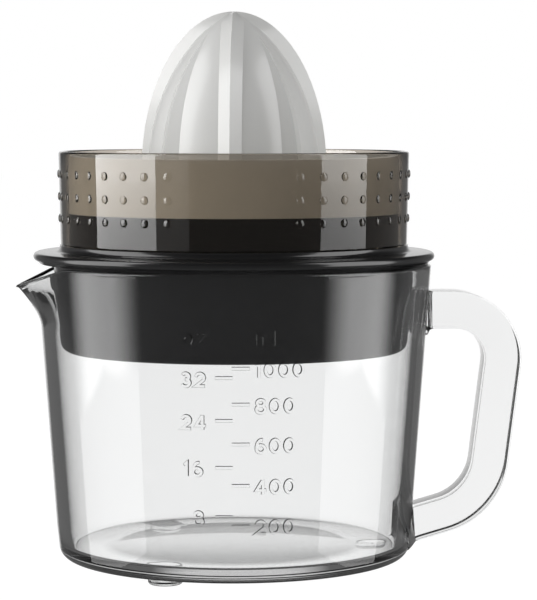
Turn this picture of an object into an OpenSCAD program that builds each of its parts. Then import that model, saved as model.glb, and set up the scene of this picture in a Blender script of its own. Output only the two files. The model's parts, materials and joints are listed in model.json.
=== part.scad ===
// Citrus press juicer: a motor unit sits in the mouth of a clear pitcher and turns a ribbed cone.
// Millimetres, +Z up. The origin is under the middle of the whole length, on the standing surface.
// The spout points along -X, the handle along +X and the front is -Y.

/* [Pitcher] */
// Outer radius of the pitcher at its rim
jug_rim_r = 75.8; // [72:0.1:85]
// Height of the rim above the standing surface
jug_h = 116; // [112:0.5:150]
// Slope of the pitcher's wall from upright, in degrees
jug_taper = 4.13; // [2:0.01:5]
// Thickness of the pitcher's wall
jug_wall = 5; // [3:0.1:6]
// Thickness of the pitcher's floor
jug_floor = 5.2; // [3:0.1:7]
// Radius of the rounding round the pitcher's base
jug_base_round = 4.5; // [3:0.5:8]
// Height of each foot
foot_h = 3; // [2:0.1:5]
// Radius of each foot
foot_r = 6.5; // [5:0.1:8]
// Radius of the circle that the feet stand on
foot_circle_r = 54; // [45:0.5:56]

/* [Spout] */
// Distance from the pitcher's axis to the spout's tip
spout_reach = 84.4; // [82:0.1:92]
// How far the spout's tip lies below the rim
spout_drop = 8; // [5:0.1:12]
// Height of the spout, from its root on the wall up to the rim
spout_h = 27; // [22:0.5:40]
// Radius of the spout's rounded tip
spout_tip_r = 4.2; // [3.8:0.1:5]
// Thickness of the spout's wall
spout_wall = 3; // [2:0.1:3.4]

/* [Handle] */
// Distance from the pitcher's axis to the handle's outer face
handle_reach = 110.4; // [106:0.1:120]
// Width of the handle across
handle_w = 17.5; // [14:0.5:24]
// How far the handle's top lies below the rim
handle_drop = 10.9; // [8:0.1:16]
// Thickness of the handle's top arm
handle_arm_t = 14.3; // [12:0.1:17]
// Thickness of the handle's grip
handle_grip_t = 13.8; // [11:0.1:16]
// Radius of the handle's upper outer corner
handle_top_r = 26.2; // [22:0.1:30]
// Radius of the handle's lower outer corner
handle_low_r = 32; // [26:0.1:36]
// Height of the lower corner's centre above the standing surface
handle_low_z = 43; // [40:0.5:46]
// Lean of the grip from upright, in degrees
handle_lean = 7.2; // [3:0.1:9]
// Slope of the handle's lower arm, in degrees
handle_low_slope = 16.2; // [10:0.1:20]

/* [Motor housing] */
// Gap between the drum and the pitcher's wall
drum_gap = 1.6; // [1:0.1:3]
// Depth of the drum below the flange
drum_depth = 33.4; // [32.6:0.1:36]
// Thickness of the drum's wall
drum_wall = 2.5; // [2:0.1:3]
// Radius of the rounding round the drum's bottom edge
drum_round = 4.5; // [2:0.1:6]
// How far the flange stands out past the rim
flange_overhang = 1.3; // [0.8:0.1:3]
// Thickness of the flange at its edge
flange_t = 3.2; // [2.8:0.1:4]
// Rise of the flange's underside from the rim out to its edge
flange_lip = 1; // [0.6:0.1:1.2]
// Height of the ledge that the collar rests on, above the flange's underside
ledge_rise = 6.8; // [6:0.1:8]
// Radius of the hollow rounding from the flange up to the ledge
neck_round = 2.3; // [1:0.1:2.6]
// Height of the bowl wall above that ledge
bowl_wall_h = 12; // [10:0.1:12.4]
// Thickness of the bowl wall
bowl_wall_t = 2.5; // [2:0.1:3]
// Thickness of the deck that is the bowl's floor
deck_t = 2.5; // [2:0.1:3]
// Rise of the bowl's floor from the wall to the central boss
bowl_slope = 3; // [1:0.1:3.2]
// Radius of the central boss
boss_r = 12; // [11:0.1:14]
// Height of the central boss above the bowl's floor
boss_h = 17; // [15:0.1:17.5]
// Width of the drain duct, inside, from side to side
drain_w = 16; // [12:0.5:20]
// Depth of the drain duct, inside, from front to back
drain_d = 12; // [10:0.5:14]
// Distance from the bowl wall to the drain duct
drain_inset = 6.5; // [5:0.5:8]

/* [Collar] */
// How far the collar's bottom edge is set in from the pitcher's rim
collar_inset = 9.3; // [9:0.1:9.8]
// How much wider the collar is at its top, on the radius
collar_flare = 0.7; // [0:0.1:4]
// Height of the collar
collar_h = 35.5; // [30:0.1:40]
// Thickness of the collar's wall
collar_t = 2; // [1.6:0.1:2.4]

/* [Strainer] */
// Thickness of the strainer's floor
strainer_t = 2; // [1.6:0.1:2.4]
// Depth of the strainer's basket below its lip
strainer_depth = 7.2; // [6:0.1:7.2]
// Height of the strainer's wall above the motor unit's bowl wall
strainer_wall_h = 21.3; // [16:0.1:22]
// Thickness of that wall
strainer_wall_t = 1.6; // [1.2:0.1:2]
// Number of slots
slot_count = 30; // [18:1:32]
// Width of each slot
slot_w = 2.2; // [1.5:0.1:2.4]
// Distance from the axis to the inner end of each slot
slot_in_r = 23; // [22:0.5:30]
// Distance from the axis to the outer end of each slot
slot_out_r = 46; // [40:0.5:48]
// Thickness of the pulp shutter
shutter_t = 1.2; // [1:0.1:1.6]
// Height of the shutter's lever above the shutter
lever_h = 9; // [6:0.5:12]

/* [Cones] */
// Radius of the large cone over its ribs
cone_r = 35.5; // [33:0.1:38]
// Height of the large cone's dome, above the middle where it is widest
cone_dome_h = 60.2; // [52:0.1:66]
// Height of the large cone's skirt below that middle
cone_skirt_h = 12.7; // [11.5:0.1:14]
// Radius of the small cone over its ribs
small_cone_r = 26; // [24:0.1:27]
// Height of the small cone's dome
small_dome_h = 41; // [38:0.1:44]
// Number of ribs on each cone
rib_count = 8; // [6:1:10]
// Depth of the flutes between the ribs
flute_depth = 3.2; // [2:0.1:4]
// Thickness of the large cone's shell
cone_t = 2; // [1.6:0.1:2.4]
// Gap between the strainer's hub and the large cone, which the shaft's press needs
cone_gap = 3.6; // [3.2:0.1:5]

/* [Drive] */
// Radius of the shaft's journal
shaft_r = 5; // [4.5:0.1:5.4]
// Width across the flats of the shaft's key at the top
key_w = 7; // [6:0.1:8]
// Width across the flats of the hexagon that slides in the output gear
hex_w = 10; // [9.6:0.1:10.4]
// Length of the hexagon
hex_l = 7; // [6.5:0.1:7.4]
// Travel of the shaft that starts the motor
press_travel = 2.5; // [1.5:0.1:2.8]
// Running clearance between turning pieces, measured on the radius
run_gap = 0.06; // [0.03:0.01:0.1]
// Gap between pieces that rest on each other
seat_gap = 0.3; // [0.2:0.05:0.4]
// Size of the gear teeth: pitch diameter over the number of teeth
tooth_module = 1; // [0.96:0.01:1.02]
// Number of teeth on the output gear
output_teeth = 60; // [56:1:61]
// Number of teeth on the idler's small gear
idler_small_teeth = 12; // [12:1:14]
// Number of teeth on the idler's large wheel
idler_large_teeth = 36; // [34:1:38]
// Number of teeth on the rotor's pinion
pinion_teeth = 10; // [10:1:12]
// Thickness of the output gear
gear_t = 4; // [3:0.1:4.4]
// Thickness of the idler's large wheel
wheel_t = 3.5; // [3:0.1:3.8]
// Thickness of the gear plate
plate_t = 2; // [1.6:0.1:2.2]

/* [Motor] */
// Radius of the rotor's magnet
magnet_r = 9; // [8:0.1:9.5]
// Air gap between magnet and core
air_gap = 0.8; // [0.5:0.1:1]
// Thickness of the stack of laminations
core_t = 10; // [8:0.5:10.4]
// Length of the core along its legs
core_l = 56; // [54:0.5:57]
// Width of the core across its legs
core_w = 30; // [29:0.5:31]
// Width of each leg
leg_w = 8; // [7:0.1:8.4]
// Thickness of a winding with its bobbin, around a leg
winding_t = 3.7; // [3:0.1:3.8]
// Length of each winding
winding_l = 19; // [15:0.5:20]

/* [Hidden] */
$fn = 64;

// The pitcher's axis stands where the whole length, from spout to handle, is centred on the origin.
axis_x = (spout_reach - handle_reach) / 2;

function slope(angle) = tan(angle);
// Points of an arc, from angle a0 to angle a1 in n steps
function arc(cx, cy, r, a0, a1, n) =
    [for (i = [0:n]) let (a = a0 + (a1 - a0) * i / n) [cx + r * cos(a), cy + r * sin(a)]];

// Pitcher
function jug_r(z) = jug_rim_r - (jug_h - z) * slope(jug_taper);
function jug_in_r(z) = jug_r(z) - jug_wall;
jug_floor_z = foot_h + jug_floor;
jug_in_round = 2;

// Collar
collar_low_r = jug_rim_r - collar_inset;
collar_top_r = collar_low_r + collar_flare;
collar_gap = 1.3;

// Motor unit, from the flange down and up
flange_z = jug_h + seat_gap;
flange_r = jug_rim_r + flange_overhang;
flange_seat = 1.3;
neck_step = 0.3;
flange_top_z = flange_z + flange_lip + flange_t;
ledge_z = flange_z + ledge_rise;
drum_z = flange_z - drum_depth;
function drum_r(z) = jug_in_r(z) - drum_gap;
function drum_in_r(z) = drum_r(z) - drum_wall;
tower_r = collar_low_r - collar_t - collar_gap;
tower_in_r = tower_r - bowl_wall_t;
tower_z = ledge_z + bowl_wall_h;
bowl_z = ledge_z - seat_gap;
deck_z = bowl_z - deck_t;
boss_z = bowl_z + boss_h;
bush_r = shaft_r + 2;
bush_z = bowl_z + 0.5;
seal_l = 2;
seal_gap = 0.3;
bush_l = boss_z - bush_z - seal_l - seal_gap - 0.7;

// Bottom cover
cover_lift = 1.5;
cover_t = 2.5;
cover_z = drum_z + cover_lift;
cover_top_z = cover_z + cover_t;
mouth_r = drum_r(drum_z) - drum_round - 0.3;
cover_r = mouth_r - 0.2;
post_r = 4.5;
post_rib_t = 3;
post_count = 4;
cover_screw_r = 3;
post_circle_r = cover_r - cover_screw_r - 0.8;
pilot_r = 1.5;
pilot_l = 7;
screw_gap = 0.05;

// Drain duct
duct_wall = 2;
drain_y = tower_in_r - drain_inset - drain_d / 2;

// Gear plate and what turns on it
core_z = cover_top_z + winding_t + 0.6;
plate_z = core_z + core_t + winding_t + seat_gap;
plate_top_z = plate_z + plate_t;
plate_r = cover_r - 0.5;
hub_r = 8;
collar_hub_r = 11;
hub_drop = 1.5;
hub_z = plate_z - hub_drop;
hub_floor_t = 2;
wheel_z = plate_top_z + 1;
small_gear_z = wheel_z + wheel_t;
output_z = small_gear_z + 1;
hub_top_z = output_z + gear_t + 1.5;
spigot_r = 2.8;
hex_gap = 0.1;
hex_rest_z = hub_top_z - hex_l;
pocket_r = hex_w / 2 + 0.3;
pocket_top_z = hex_rest_z - press_travel - 0.5;
pocket_z = hub_z + hub_floor_t;

// Gear train: idler at one place, and the rotor beyond it, at centre distances that leave backlash
centre_gap = 0.1;
idler_angle = 34;
rotor_angle = 134;
idler_d = tooth_module * (output_teeth + idler_small_teeth) / 2 + centre_gap;
rotor_d = tooth_module * (idler_large_teeth + pinion_teeth) / 2 + centre_gap;
idler_x = idler_d * cos(idler_angle);
idler_y = idler_d * sin(idler_angle);
rotor_x = idler_x + rotor_d * cos(rotor_angle);
rotor_y = idler_y + rotor_d * sin(rotor_angle);
pin_r = 2.5;
idler_hub_r = 5;
spindle_r = 2;
core_end_t = 4.2;
spindle_z = cover_top_z + 0.3;
bearing_h = 3;

// Shaft, cones and strainer
strainer_lip_z = tower_z + seat_gap;
lip_t = 1.7;
strainer_wall_z = tower_z + strainer_wall_h;
strainer_z = strainer_lip_z + lip_t - strainer_depth;
strainer_top_z = strainer_z + strainer_t;
basket_r = tower_in_r - 0.5;
strainer_hub_r = boss_r + 2.5;
strainer_hub_z = strainer_top_z + 3.7;
shutter_z = strainer_top_z + seat_gap;
cone_z = strainer_hub_z + cone_gap;
cone_mid_z = cone_z + cone_skirt_h;
small_base_t = 2;
small_base_r = small_cone_r + 5;
small_mid_z = cone_z + small_base_t + 8;
small_hub_r = 9;
small_hub_z = boss_z + press_travel + 2.5;
shaft_top_z = small_mid_z + small_dome_h - 22;
seat_ring_z = cone_z + small_base_t + seat_gap;
seat_ring_t = 2;
seat_ring_r = small_cone_r + 2;
lug_w = 5;
spigot_z = hub_z - 6.5;
button_r = 2.6;
button_l = 5.4;
switch_w = 8;
switch_l = 20;

module on_axis() { translate([axis_x, 0, 0]) children(); }
module tube(r_out, r_in, z, h) {
    translate([0, 0, z]) difference() {
        cylinder(r = r_out, h = h);
        translate([0, 0, -1]) cylinder(r = r_in, h = h + 2);
    }
}
module rod(r, z, h) { translate([0, 0, z]) cylinder(r = r, h = h); }
module block(size, at) { translate([at[0] - size[0] / 2, at[1] - size[1] / 2, at[2]]) cube(size); }
module round_about(count, first = 0) {
    for (i = [0:count - 1]) rotate([0, 0, first + i * 360 / count]) children();
}

// ---- Pitcher ----
module jug_body() {
    base_r = jug_r(foot_h);
    rotate_extrude($fn = 128) polygon(concat(
        [[0, foot_h]],
        arc(base_r - jug_base_round, foot_h + jug_base_round, jug_base_round, -90, -jug_taper, 6),
        [[jug_rim_r, jug_h], [0, jug_h]]));
}
module jug_cavity() {
    floor_r = jug_in_r(jug_floor_z);
    rotate_extrude($fn = 128) polygon(concat(
        [[0, jug_floor_z]],
        arc(floor_r - jug_in_round, jug_floor_z + jug_in_round, jug_in_round, -90, -jug_taper, 3),
        [[jug_in_r(jug_h + 10), jug_h + 10], [0, jug_h + 10]]));
}
// Plan of the spout: the two lines from the rounded tip that touch the rim, set in by t
module spout_plan(t) {
    tip_x = spout_reach - spout_tip_r;
    half = acos((jug_rim_r - spout_tip_r) / tip_x);
    tip = spout_tip_r - t;
    wide = jug_rim_r - t;
    polygon(concat(
        [[0, 0], [-wide * cos(half), wide * sin(half)]],
        arc(-tip_x, 0, tip, 180 - half, 180 + half, 8),
        [[-wide * cos(half), -wide * sin(half)]]));
}
// The spout's side view: it leans out from its root on the wall to its tip, below a sloping edge
spout_root_in = 0.6;
spout_root_step = 1.6;
spout_belly_out = 1.7;
spout_belly_rise = 7;
spout_lip_back = 7;
spout_lip_fall = 8.5;
module spout_side(t) {
    root_z = jug_h - spout_h + t;
    tip_z = jug_h - spout_drop;
    tip_x = -spout_reach + t;
    edge_x = -jug_rim_r * cos(acos(jug_rim_r / spout_reach)) + 4;
    rotate([90, 0, 0]) linear_extrude(height = 2 * jug_rim_r, center = true) polygon([
        [edge_x + 20, root_z], [-jug_r(root_z) + t + spout_root_in, root_z + spout_root_step],
        [-jug_r(root_z) + t - spout_belly_out, root_z + spout_belly_rise],
        [tip_x + spout_lip_back, tip_z - spout_lip_fall + t],
        [tip_x, tip_z - 0.8], [tip_x, tip_z + (t > 0 ? 20 : 0)],
        [edge_x, jug_h + (t > 0 ? 20 : 0)], [edge_x + 20, jug_h + (t > 0 ? 20 : 0)]]);
}
module spout(t) {
    intersection() {
        translate([0, 0, jug_h - spout_h]) linear_extrude(height = spout_h + (t > 0 ? 10 : 0)) spout_plan(t);
        spout_side(t);
    }
}
module handle() {
    top_z = jug_h - handle_drop;
    top_x = handle_reach - handle_top_r;
    in_r = handle_top_r - handle_arm_t;
    in_x = handle_reach - handle_grip_t - in_r;
    low_in_r = handle_low_r - handle_grip_t;
    run = top_z - handle_top_r - handle_low_z;
    low_x = top_x - run * slope(handle_lean) + (handle_top_r - handle_low_r) / cos(handle_lean);
    low_end = handle_low_slope - 90;
    root = jug_r(foot_h) - jug_wall;
    fall_out = (low_x - root) * slope(handle_low_slope);
    rotate([90, 0, 0]) linear_extrude(height = handle_w, center = true) difference() {
        polygon(concat(
            [[root, top_z]],
            arc(top_x, top_z - handle_top_r, handle_top_r, 90, -handle_lean, 10),
            arc(low_x, handle_low_z, handle_low_r, -handle_lean, low_end, 8),
            [[root, handle_low_z - handle_low_r / cos(handle_low_slope) - fall_out]]));
        polygon(concat(
            [[root, top_z - handle_arm_t]],
            arc(in_x, top_z - handle_arm_t - in_r, in_r, 90, -handle_lean, 6),
            arc(low_x, handle_low_z - 1, low_in_r, -handle_lean, low_end, 5),
            [[root, handle_low_z - 1 - low_in_r / cos(handle_low_slope) - fall_out]]));
    }
}
module pitcher() {
    color([0.88, 0.9, 0.91, 0.4]) on_axis() difference() {
        union() {
            jug_body();
            spout(0);
            handle();
            for (i = [0:2]) rotate([0, 0, i * 120]) translate([foot_circle_r, 0, 0])
                cylinder(r = foot_r, h = foot_h + 1);
        }
        jug_cavity();
        spout(spout_wall);
    }
}

// ---- Motor unit: what stays still ----
module housing_shell() {
    nose = flange_t / 2;
    low_r = drum_r(drum_z);
    neck = min(neck_round, ledge_z - flange_top_z);
    neck_r = collar_low_r + neck_step + neck;
    rotate_extrude($fn = 128) polygon(concat(
        arc(low_r - drum_round, drum_z + drum_round, drum_round, -90, -jug_taper, 6),
        [[drum_r(flange_z), flange_z], [jug_rim_r - flange_seat, flange_z]],
        arc(flange_r - nose, flange_top_z - nose, nose, -80, 86, 6),
        arc(neck_r, ledge_z, neck, -90, -180, 4),
        [[tower_r, ledge_z], [tower_r, tower_z], [tower_in_r, tower_z],
         [tower_in_r, bowl_z], [boss_r, bowl_z + bowl_slope], [boss_r, boss_z],
         [bush_r, boss_z], [bush_r, bush_z], [bush_r - 1, bush_z], [bush_r - 1, deck_z],
         [drum_in_r(flange_z) - 3, deck_z], [drum_in_r(flange_z), deck_z - 4],
         [drum_in_r(cover_top_z + 3), cover_top_z + 3], [mouth_r, cover_top_z + 0.5], [mouth_r, drum_z]]));
}
module posts() {
    post_h = plate_z - cover_top_z;
    rib_l = drum_in_r(plate_z) + 0.5 - post_circle_r;
    round_about(post_count, 45) translate([post_circle_r, 0, cover_top_z]) {
        cylinder(r = post_r, h = post_h);
        translate([0, -post_rib_t / 2, 0]) cube([rib_l, post_rib_t, post_h]);
    }
}
module duct(grow, z, top_z) {
    block([drain_w + 2 * grow, drain_d + 2 * grow, top_z - z], [0, -drain_y, z]);
}
gland_w = 10;
gland_h = 4.6;
gland_z = flange_z + 0.9;
cord_w = 5.8;
cord_t = 3;
module motor_housing() {
    block_w = gland_w + 6;
    color([0.05, 0.05, 0.055]) on_axis() difference() {
        union() {
            housing_shell();
            posts();
            duct(duct_wall, cover_top_z, deck_z + deck_t / 2);
            intersection() {
                block([block_w, flange_r, ledge_z - flange_z], [0, flange_r / 2, flange_z]);
                tube(flange_r - 0.5, drum_r(flange_z) - 1, flange_z, ledge_rise);
            }
        }
        duct(0, drum_z - 1, bowl_z + bowl_slope + 1);
        block([gland_w, flange_r, gland_h], [0, flange_r / 2 + drum_in_r(flange_z) - 4, gland_z]);
        round_about(post_count, 45) translate([post_circle_r, 0, 0]) {
            rod(pilot_r, cover_top_z - 1, pilot_l + 1);
            rod(pilot_r, plate_z - pilot_l, pilot_l + 1);
        }
    }
}
module cord_gland() {
    color([0.03, 0.03, 0.03]) on_axis() difference() {
        intersection() {
            block([gland_w, flange_r, gland_h], [0, flange_r / 2 + drum_in_r(flange_z) - 4, gland_z]);
            rod(flange_r - 0.5, gland_z, gland_h);
        }
        block([cord_w, 3 * flange_r, cord_t], [0, flange_r / 2, gland_z + (gland_h - cord_t) / 2]);
    }
}
module bottom_cover() {
    color([0.06, 0.06, 0.065]) on_axis() difference() {
        union() {
            rod(cover_r, cover_z, cover_t);
            translate([rotor_x, rotor_y, 0]) rod(idler_hub_r, cover_top_z - 1, bearing_h + 1);
        }
        duct(0, drum_z, cover_top_z + 1);
        round_about(post_count, 45) translate([post_circle_r, 0, 0])
            rod(pilot_r + 0.3, cover_z - 1, cover_t + 2);
        translate([rotor_x, rotor_y, 0]) rod(spindle_r + run_gap, cover_top_z, bearing_h + 1);
    }
}
module screw(head_r, head_t, length) {
    cylinder(r = pilot_r - screw_gap, h = length);
    difference() {
        translate([0, 0, -head_t]) cylinder(r = head_r, h = head_t);
        block([head_r * 1.2, 0.7, 0.6], [0, 0, -head_t - 0.01]);
        block([0.7, head_r * 1.2, 0.6], [0, 0, -head_t - 0.01]);
    }
}
module cover_screws() {
    color([0.7, 0.71, 0.72]) on_axis() round_about(post_count, 45)
        translate([post_circle_r, 0, cover_z]) screw(cover_screw_r, 1.2, cover_t + pilot_l - 1);
}
module gear_plate() {
    color([0.75, 0.76, 0.77]) on_axis() difference() {
        rod(plate_r, plate_z, plate_t);
        rod(hub_r + run_gap, plate_z - 1, plate_t + 2);
        duct(duct_wall + 0.4, plate_z - 1, plate_top_z + 1);
        translate([idler_x, idler_y, 0]) rod(pin_r, plate_z - 1, plate_t + 2);
        translate([rotor_x, rotor_y, 0]) rod(spindle_r + run_gap, plate_z - 1, plate_t + 2);
        round_about(post_count, 45) translate([post_circle_r, 0, 0])
            rod(pilot_r + 0.2, plate_z - 1, plate_t + 2);
    }
}
module plate_screws() {
    color([0.7, 0.71, 0.72]) on_axis() round_about(post_count, 45)
        translate([post_circle_r, 0, plate_top_z]) rotate([180, 0, 0]) screw(2.8, 1.4, plate_t + pilot_l - 1);
}
module idler_pin() {
    color([0.8, 0.81, 0.82]) on_axis() translate([idler_x, idler_y, 0])
        rod(pin_r - screw_gap, plate_z, output_z + gear_t + 0.8 - plate_z);
}
// Where the core's lower left corner lies, seen from above
core_x = rotor_x + magnet_r + air_gap + core_end_t - core_l;
core_y = rotor_y - core_w / 2;
module stator_core() {
    color([0.45, 0.46, 0.48]) on_axis() translate([0, 0, core_z]) difference() {
        translate([core_x, core_y, 0]) cube([core_l, core_w, core_t]);
        translate([core_x + leg_w, core_y + leg_w, -1])
            cube([core_l, core_w - 2 * leg_w, core_t + 2]);
        translate([rotor_x, rotor_y, -1]) cylinder(r = magnet_r + air_gap, h = core_t + 2);
    }
}
// One ring around each leg, from a clearance of near out to far, over a length set in by trim
module around_legs(near, far, trim) {
    for (y = [core_y + leg_w / 2, core_y + core_w - leg_w / 2]) translate([0, y, core_z + core_t / 2])
        translate([core_x + leg_w + 1 + trim, 0, 0]) difference() {
            translate([0, -leg_w / 2 - far, -core_t / 2 - far])
                cube([winding_l - 2 * trim, leg_w + 2 * far, core_t + 2 * far]);
            translate([-1, -leg_w / 2 - near, -core_t / 2 - near])
                cube([winding_l + 2, leg_w + 2 * near, core_t + 2 * near]);
        }
}
module coil_bobbins() {
    color([0.9, 0.88, 0.8]) on_axis() difference() {
        around_legs(0.1, winding_t, 0);
        around_legs(1, winding_t + 1, 1);
    }
}
module coil_windings() {
    color([0.72, 0.38, 0.2]) on_axis() around_legs(1, winding_t - 0.4, 1);
}
module shaft_bush() {
    color([0.75, 0.6, 0.35]) on_axis() tube(bush_r, shaft_r + run_gap, bush_z, bush_l);
}
module shaft_seal() {
    color([0.25, 0.12, 0.1]) on_axis() tube(bush_r, shaft_r + run_gap, bush_z + bush_l + seal_gap, seal_l);
}
module start_switch() {
    travel_l = button_l + press_travel + seat_gap;
    button_z = spigot_z - seat_gap - button_l;
    body_h = button_z + 2.4 - cover_top_z;
    color([0.1, 0.1, 0.12]) on_axis() difference() {
        block([switch_l, switch_w, body_h], [0, 0, cover_top_z]);
        rod(button_r + run_gap, button_z - press_travel - seat_gap, travel_l);
    }
}
terminal_l = 16;
terminal_w = 12;
terminal_h = 8;
terminal_x = cover_r - post_r - terminal_l;
module terminal_block() {
    color([0.85, 0.85, 0.8]) on_axis() difference() {
        block([terminal_l, terminal_w, terminal_h], [-terminal_x, 0, cover_top_z]);
        for (side = [-1, 1]) translate([-terminal_x, side * terminal_w / 4, cover_top_z + terminal_h / 2])
            cylinder(r = 1.8, h = terminal_h);
    }
}

// ---- What turns ----
// A gear's outline: teeth that narrow from root to tip, with one tooth on the local X axis
module gear_plan(teeth) {
    pitch_r = tooth_module * teeth / 2;
    tip_r = pitch_r + 0.9 * tooth_module;
    root_r = pitch_r - 1.15 * tooth_module;
    step = 360 / teeth;
    half_root = 0.29 * step;
    half_pitch = 0.215 * step;
    half_tip = 0.105 * step;
    polygon([for (i = [0:teeth - 1]) let (a = i * step)
        each [[root_r * cos(a - half_root), root_r * sin(a - half_root)],
              [pitch_r * cos(a - half_pitch), pitch_r * sin(a - half_pitch)],
              [tip_r * cos(a - half_tip), tip_r * sin(a - half_tip)],
              [tip_r * cos(a + half_tip), tip_r * sin(a + half_tip)],
              [pitch_r * cos(a + half_pitch), pitch_r * sin(a + half_pitch)],
              [root_r * cos(a + half_root), root_r * sin(a + half_root)]]]);
}
module hexagon(width, z, h) { translate([0, 0, z]) cylinder(r = width / 2 / cos(30), h = h, $fn = 6); }
module output_gear() {
    color([0.93, 0.93, 0.9]) on_axis() difference() {
        union() {
            rod(hub_r, hub_z, plate_top_z - hub_z + 1);
            rod(collar_hub_r, plate_top_z + seat_gap, output_z - plate_top_z);
            translate([0, 0, output_z]) rotate([0, 0, idler_angle]) linear_extrude(height = gear_t)
                gear_plan(output_teeth);
            rod(hub_r + 1, output_z, hub_top_z - output_z);
        }
        rod(spigot_r + 0.2, hub_z - 1, hub_floor_t + 2);
        rod(pocket_r, pocket_z, pocket_top_z - pocket_z + 0.1);
        hexagon(hex_w + 2 * hex_gap, pocket_top_z, hub_top_z - pocket_top_z + 1);
    }
}
module idler_gear() {
    small_step = 360 / idler_small_teeth;
    color([0.9, 0.9, 0.86]) on_axis() translate([idler_x, idler_y, 0]) difference() {
        union() {
            rod(idler_hub_r, plate_top_z + seat_gap, wheel_z - plate_top_z);
            translate([0, 0, wheel_z]) rotate([0, 0, rotor_angle]) linear_extrude(height = wheel_t)
                gear_plan(idler_large_teeth);
            translate([0, 0, small_gear_z - 0.5]) rotate([0, 0, idler_angle + 180 + small_step / 2])
                linear_extrude(height = gear_t + 1.5) gear_plan(idler_small_teeth);
        }
        rod(pin_r + run_gap, plate_z, output_z + gear_t + 2 - plate_z);
    }
}
module rotor_magnet() {
    color([0.2, 0.2, 0.22]) on_axis() translate([rotor_x, rotor_y, 0])
        tube(magnet_r, spindle_r, core_z - 0.5, core_t + 1);
}
module rotor_spindle() {
    pinion_step = 360 / pinion_teeth;
    color([0.82, 0.82, 0.8]) on_axis() translate([rotor_x, rotor_y, 0]) {
        rod(spindle_r, spindle_z, wheel_z + wheel_t - spindle_z);
        translate([0, 0, plate_top_z + seat_gap]) rotate([0, 0, rotor_angle + 180 + pinion_step / 2])
            linear_extrude(height = wheel_z + wheel_t - plate_top_z - seat_gap) gear_plan(pinion_teeth);
    }
}
module drive_shaft() {
    journal_z = hex_rest_z + hex_l;
    color([0.94, 0.94, 0.92]) on_axis() {
        rod(spigot_r, spigot_z, hex_rest_z - spigot_z + 1);
        hexagon(hex_w, hex_rest_z, hex_l);
        rod(shaft_r, journal_z - 1, boss_z + press_travel + 1 - journal_z);
        intersection() {
            rod(shaft_r, journal_z, shaft_top_z - journal_z);
            block([key_w, 2 * shaft_r, shaft_top_z - journal_z], [0, 0, journal_z]);
        }
    }
}
// A coil spring: a small polygon swept along a helix
module return_spring() {
    wire_r = 0.35;
    turns = 3;
    steps = 14 * turns;
    sides = 6;
    mean_r = spigot_r + 1.3;
    low = pocket_z + wire_r + 0.05;
    rise = hex_rest_z - pocket_z - 2 * wire_r - 0.1;
    points = [for (i = [0:steps], k = [0:sides - 1])
        let (a = 360 * turns * i / steps, b = 360 * k / sides, r = mean_r + wire_r * cos(b))
        [r * cos(a), r * sin(a), low + rise * i / steps + wire_r * sin(b)]];
    ring = steps * sides;
    faces = concat(
        [[for (k = [0:sides - 1]) k], [for (k = [0:sides - 1]) ring + sides - 1 - k]],
        [for (i = [0:steps - 1], k = [0:sides - 1])
            let (here = i * sides + k, next = i * sides + (k + 1) % sides)
            each [[here, here + sides, next], [next, here + sides, next + sides]]]);
    color([0.6, 0.61, 0.62]) on_axis() polyhedron(points, faces);
}
module switch_button() {
    color([0.8, 0.15, 0.1]) on_axis() rod(button_r, spigot_z - seat_gap - button_l, button_l);
}

// ---- What lifts off ----
module juice_collar() {
    low_z = ledge_z + seat_gap;
    top_z = low_z + collar_h;
    bead = 0.8;
    color([0.36, 0.34, 0.29, 0.8]) on_axis() rotate_extrude($fn = 128) polygon(concat(
        [[collar_low_r - collar_t, low_z], [collar_low_r, low_z]],
        arc(collar_top_r - bead, top_z - bead, bead, 0, 90, 3),
        [[collar_top_r - collar_t, top_z]]));
}
module slots(z, h, first) {
    round_about(slot_count, first) translate([slot_in_r, -slot_w / 2, z]) cube([slot_out_r - slot_in_r, slot_w, h]);
}
module strainer() {
    lip_r = tower_r + 0.2;
    color([0.96, 0.96, 0.95]) on_axis() difference() {
        rotate_extrude($fn = 128) polygon([
            [boss_r + 0.5, strainer_z], [basket_r, strainer_z], [basket_r, strainer_lip_z],
            [lip_r, strainer_lip_z], [lip_r, strainer_wall_z], [lip_r - strainer_wall_t, strainer_wall_z],
            [lip_r - strainer_wall_t, strainer_lip_z + lip_t],
            [basket_r - 2, strainer_lip_z + lip_t], [basket_r - 2, strainer_top_z],
            [strainer_hub_r, strainer_top_z], [strainer_hub_r, strainer_hub_z],
            [boss_r + 0.5, strainer_hub_z]]);
        slots(strainer_z - 1, strainer_t + 2, 0);
    }
}
module pulp_shutter() {
    out_r = basket_r - 2.4;
    color([0.93, 0.93, 0.92]) on_axis() difference() {
        union() {
            tube(out_r, strainer_hub_r + 0.1, shutter_z, shutter_t);
            rotate([0, 0, 135]) block([3, 9, shutter_t + lever_h], [out_r - 4, 0, shutter_z]);
        }
        slots(shutter_z - 1, shutter_t + 2, 0);
    }
}
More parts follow.
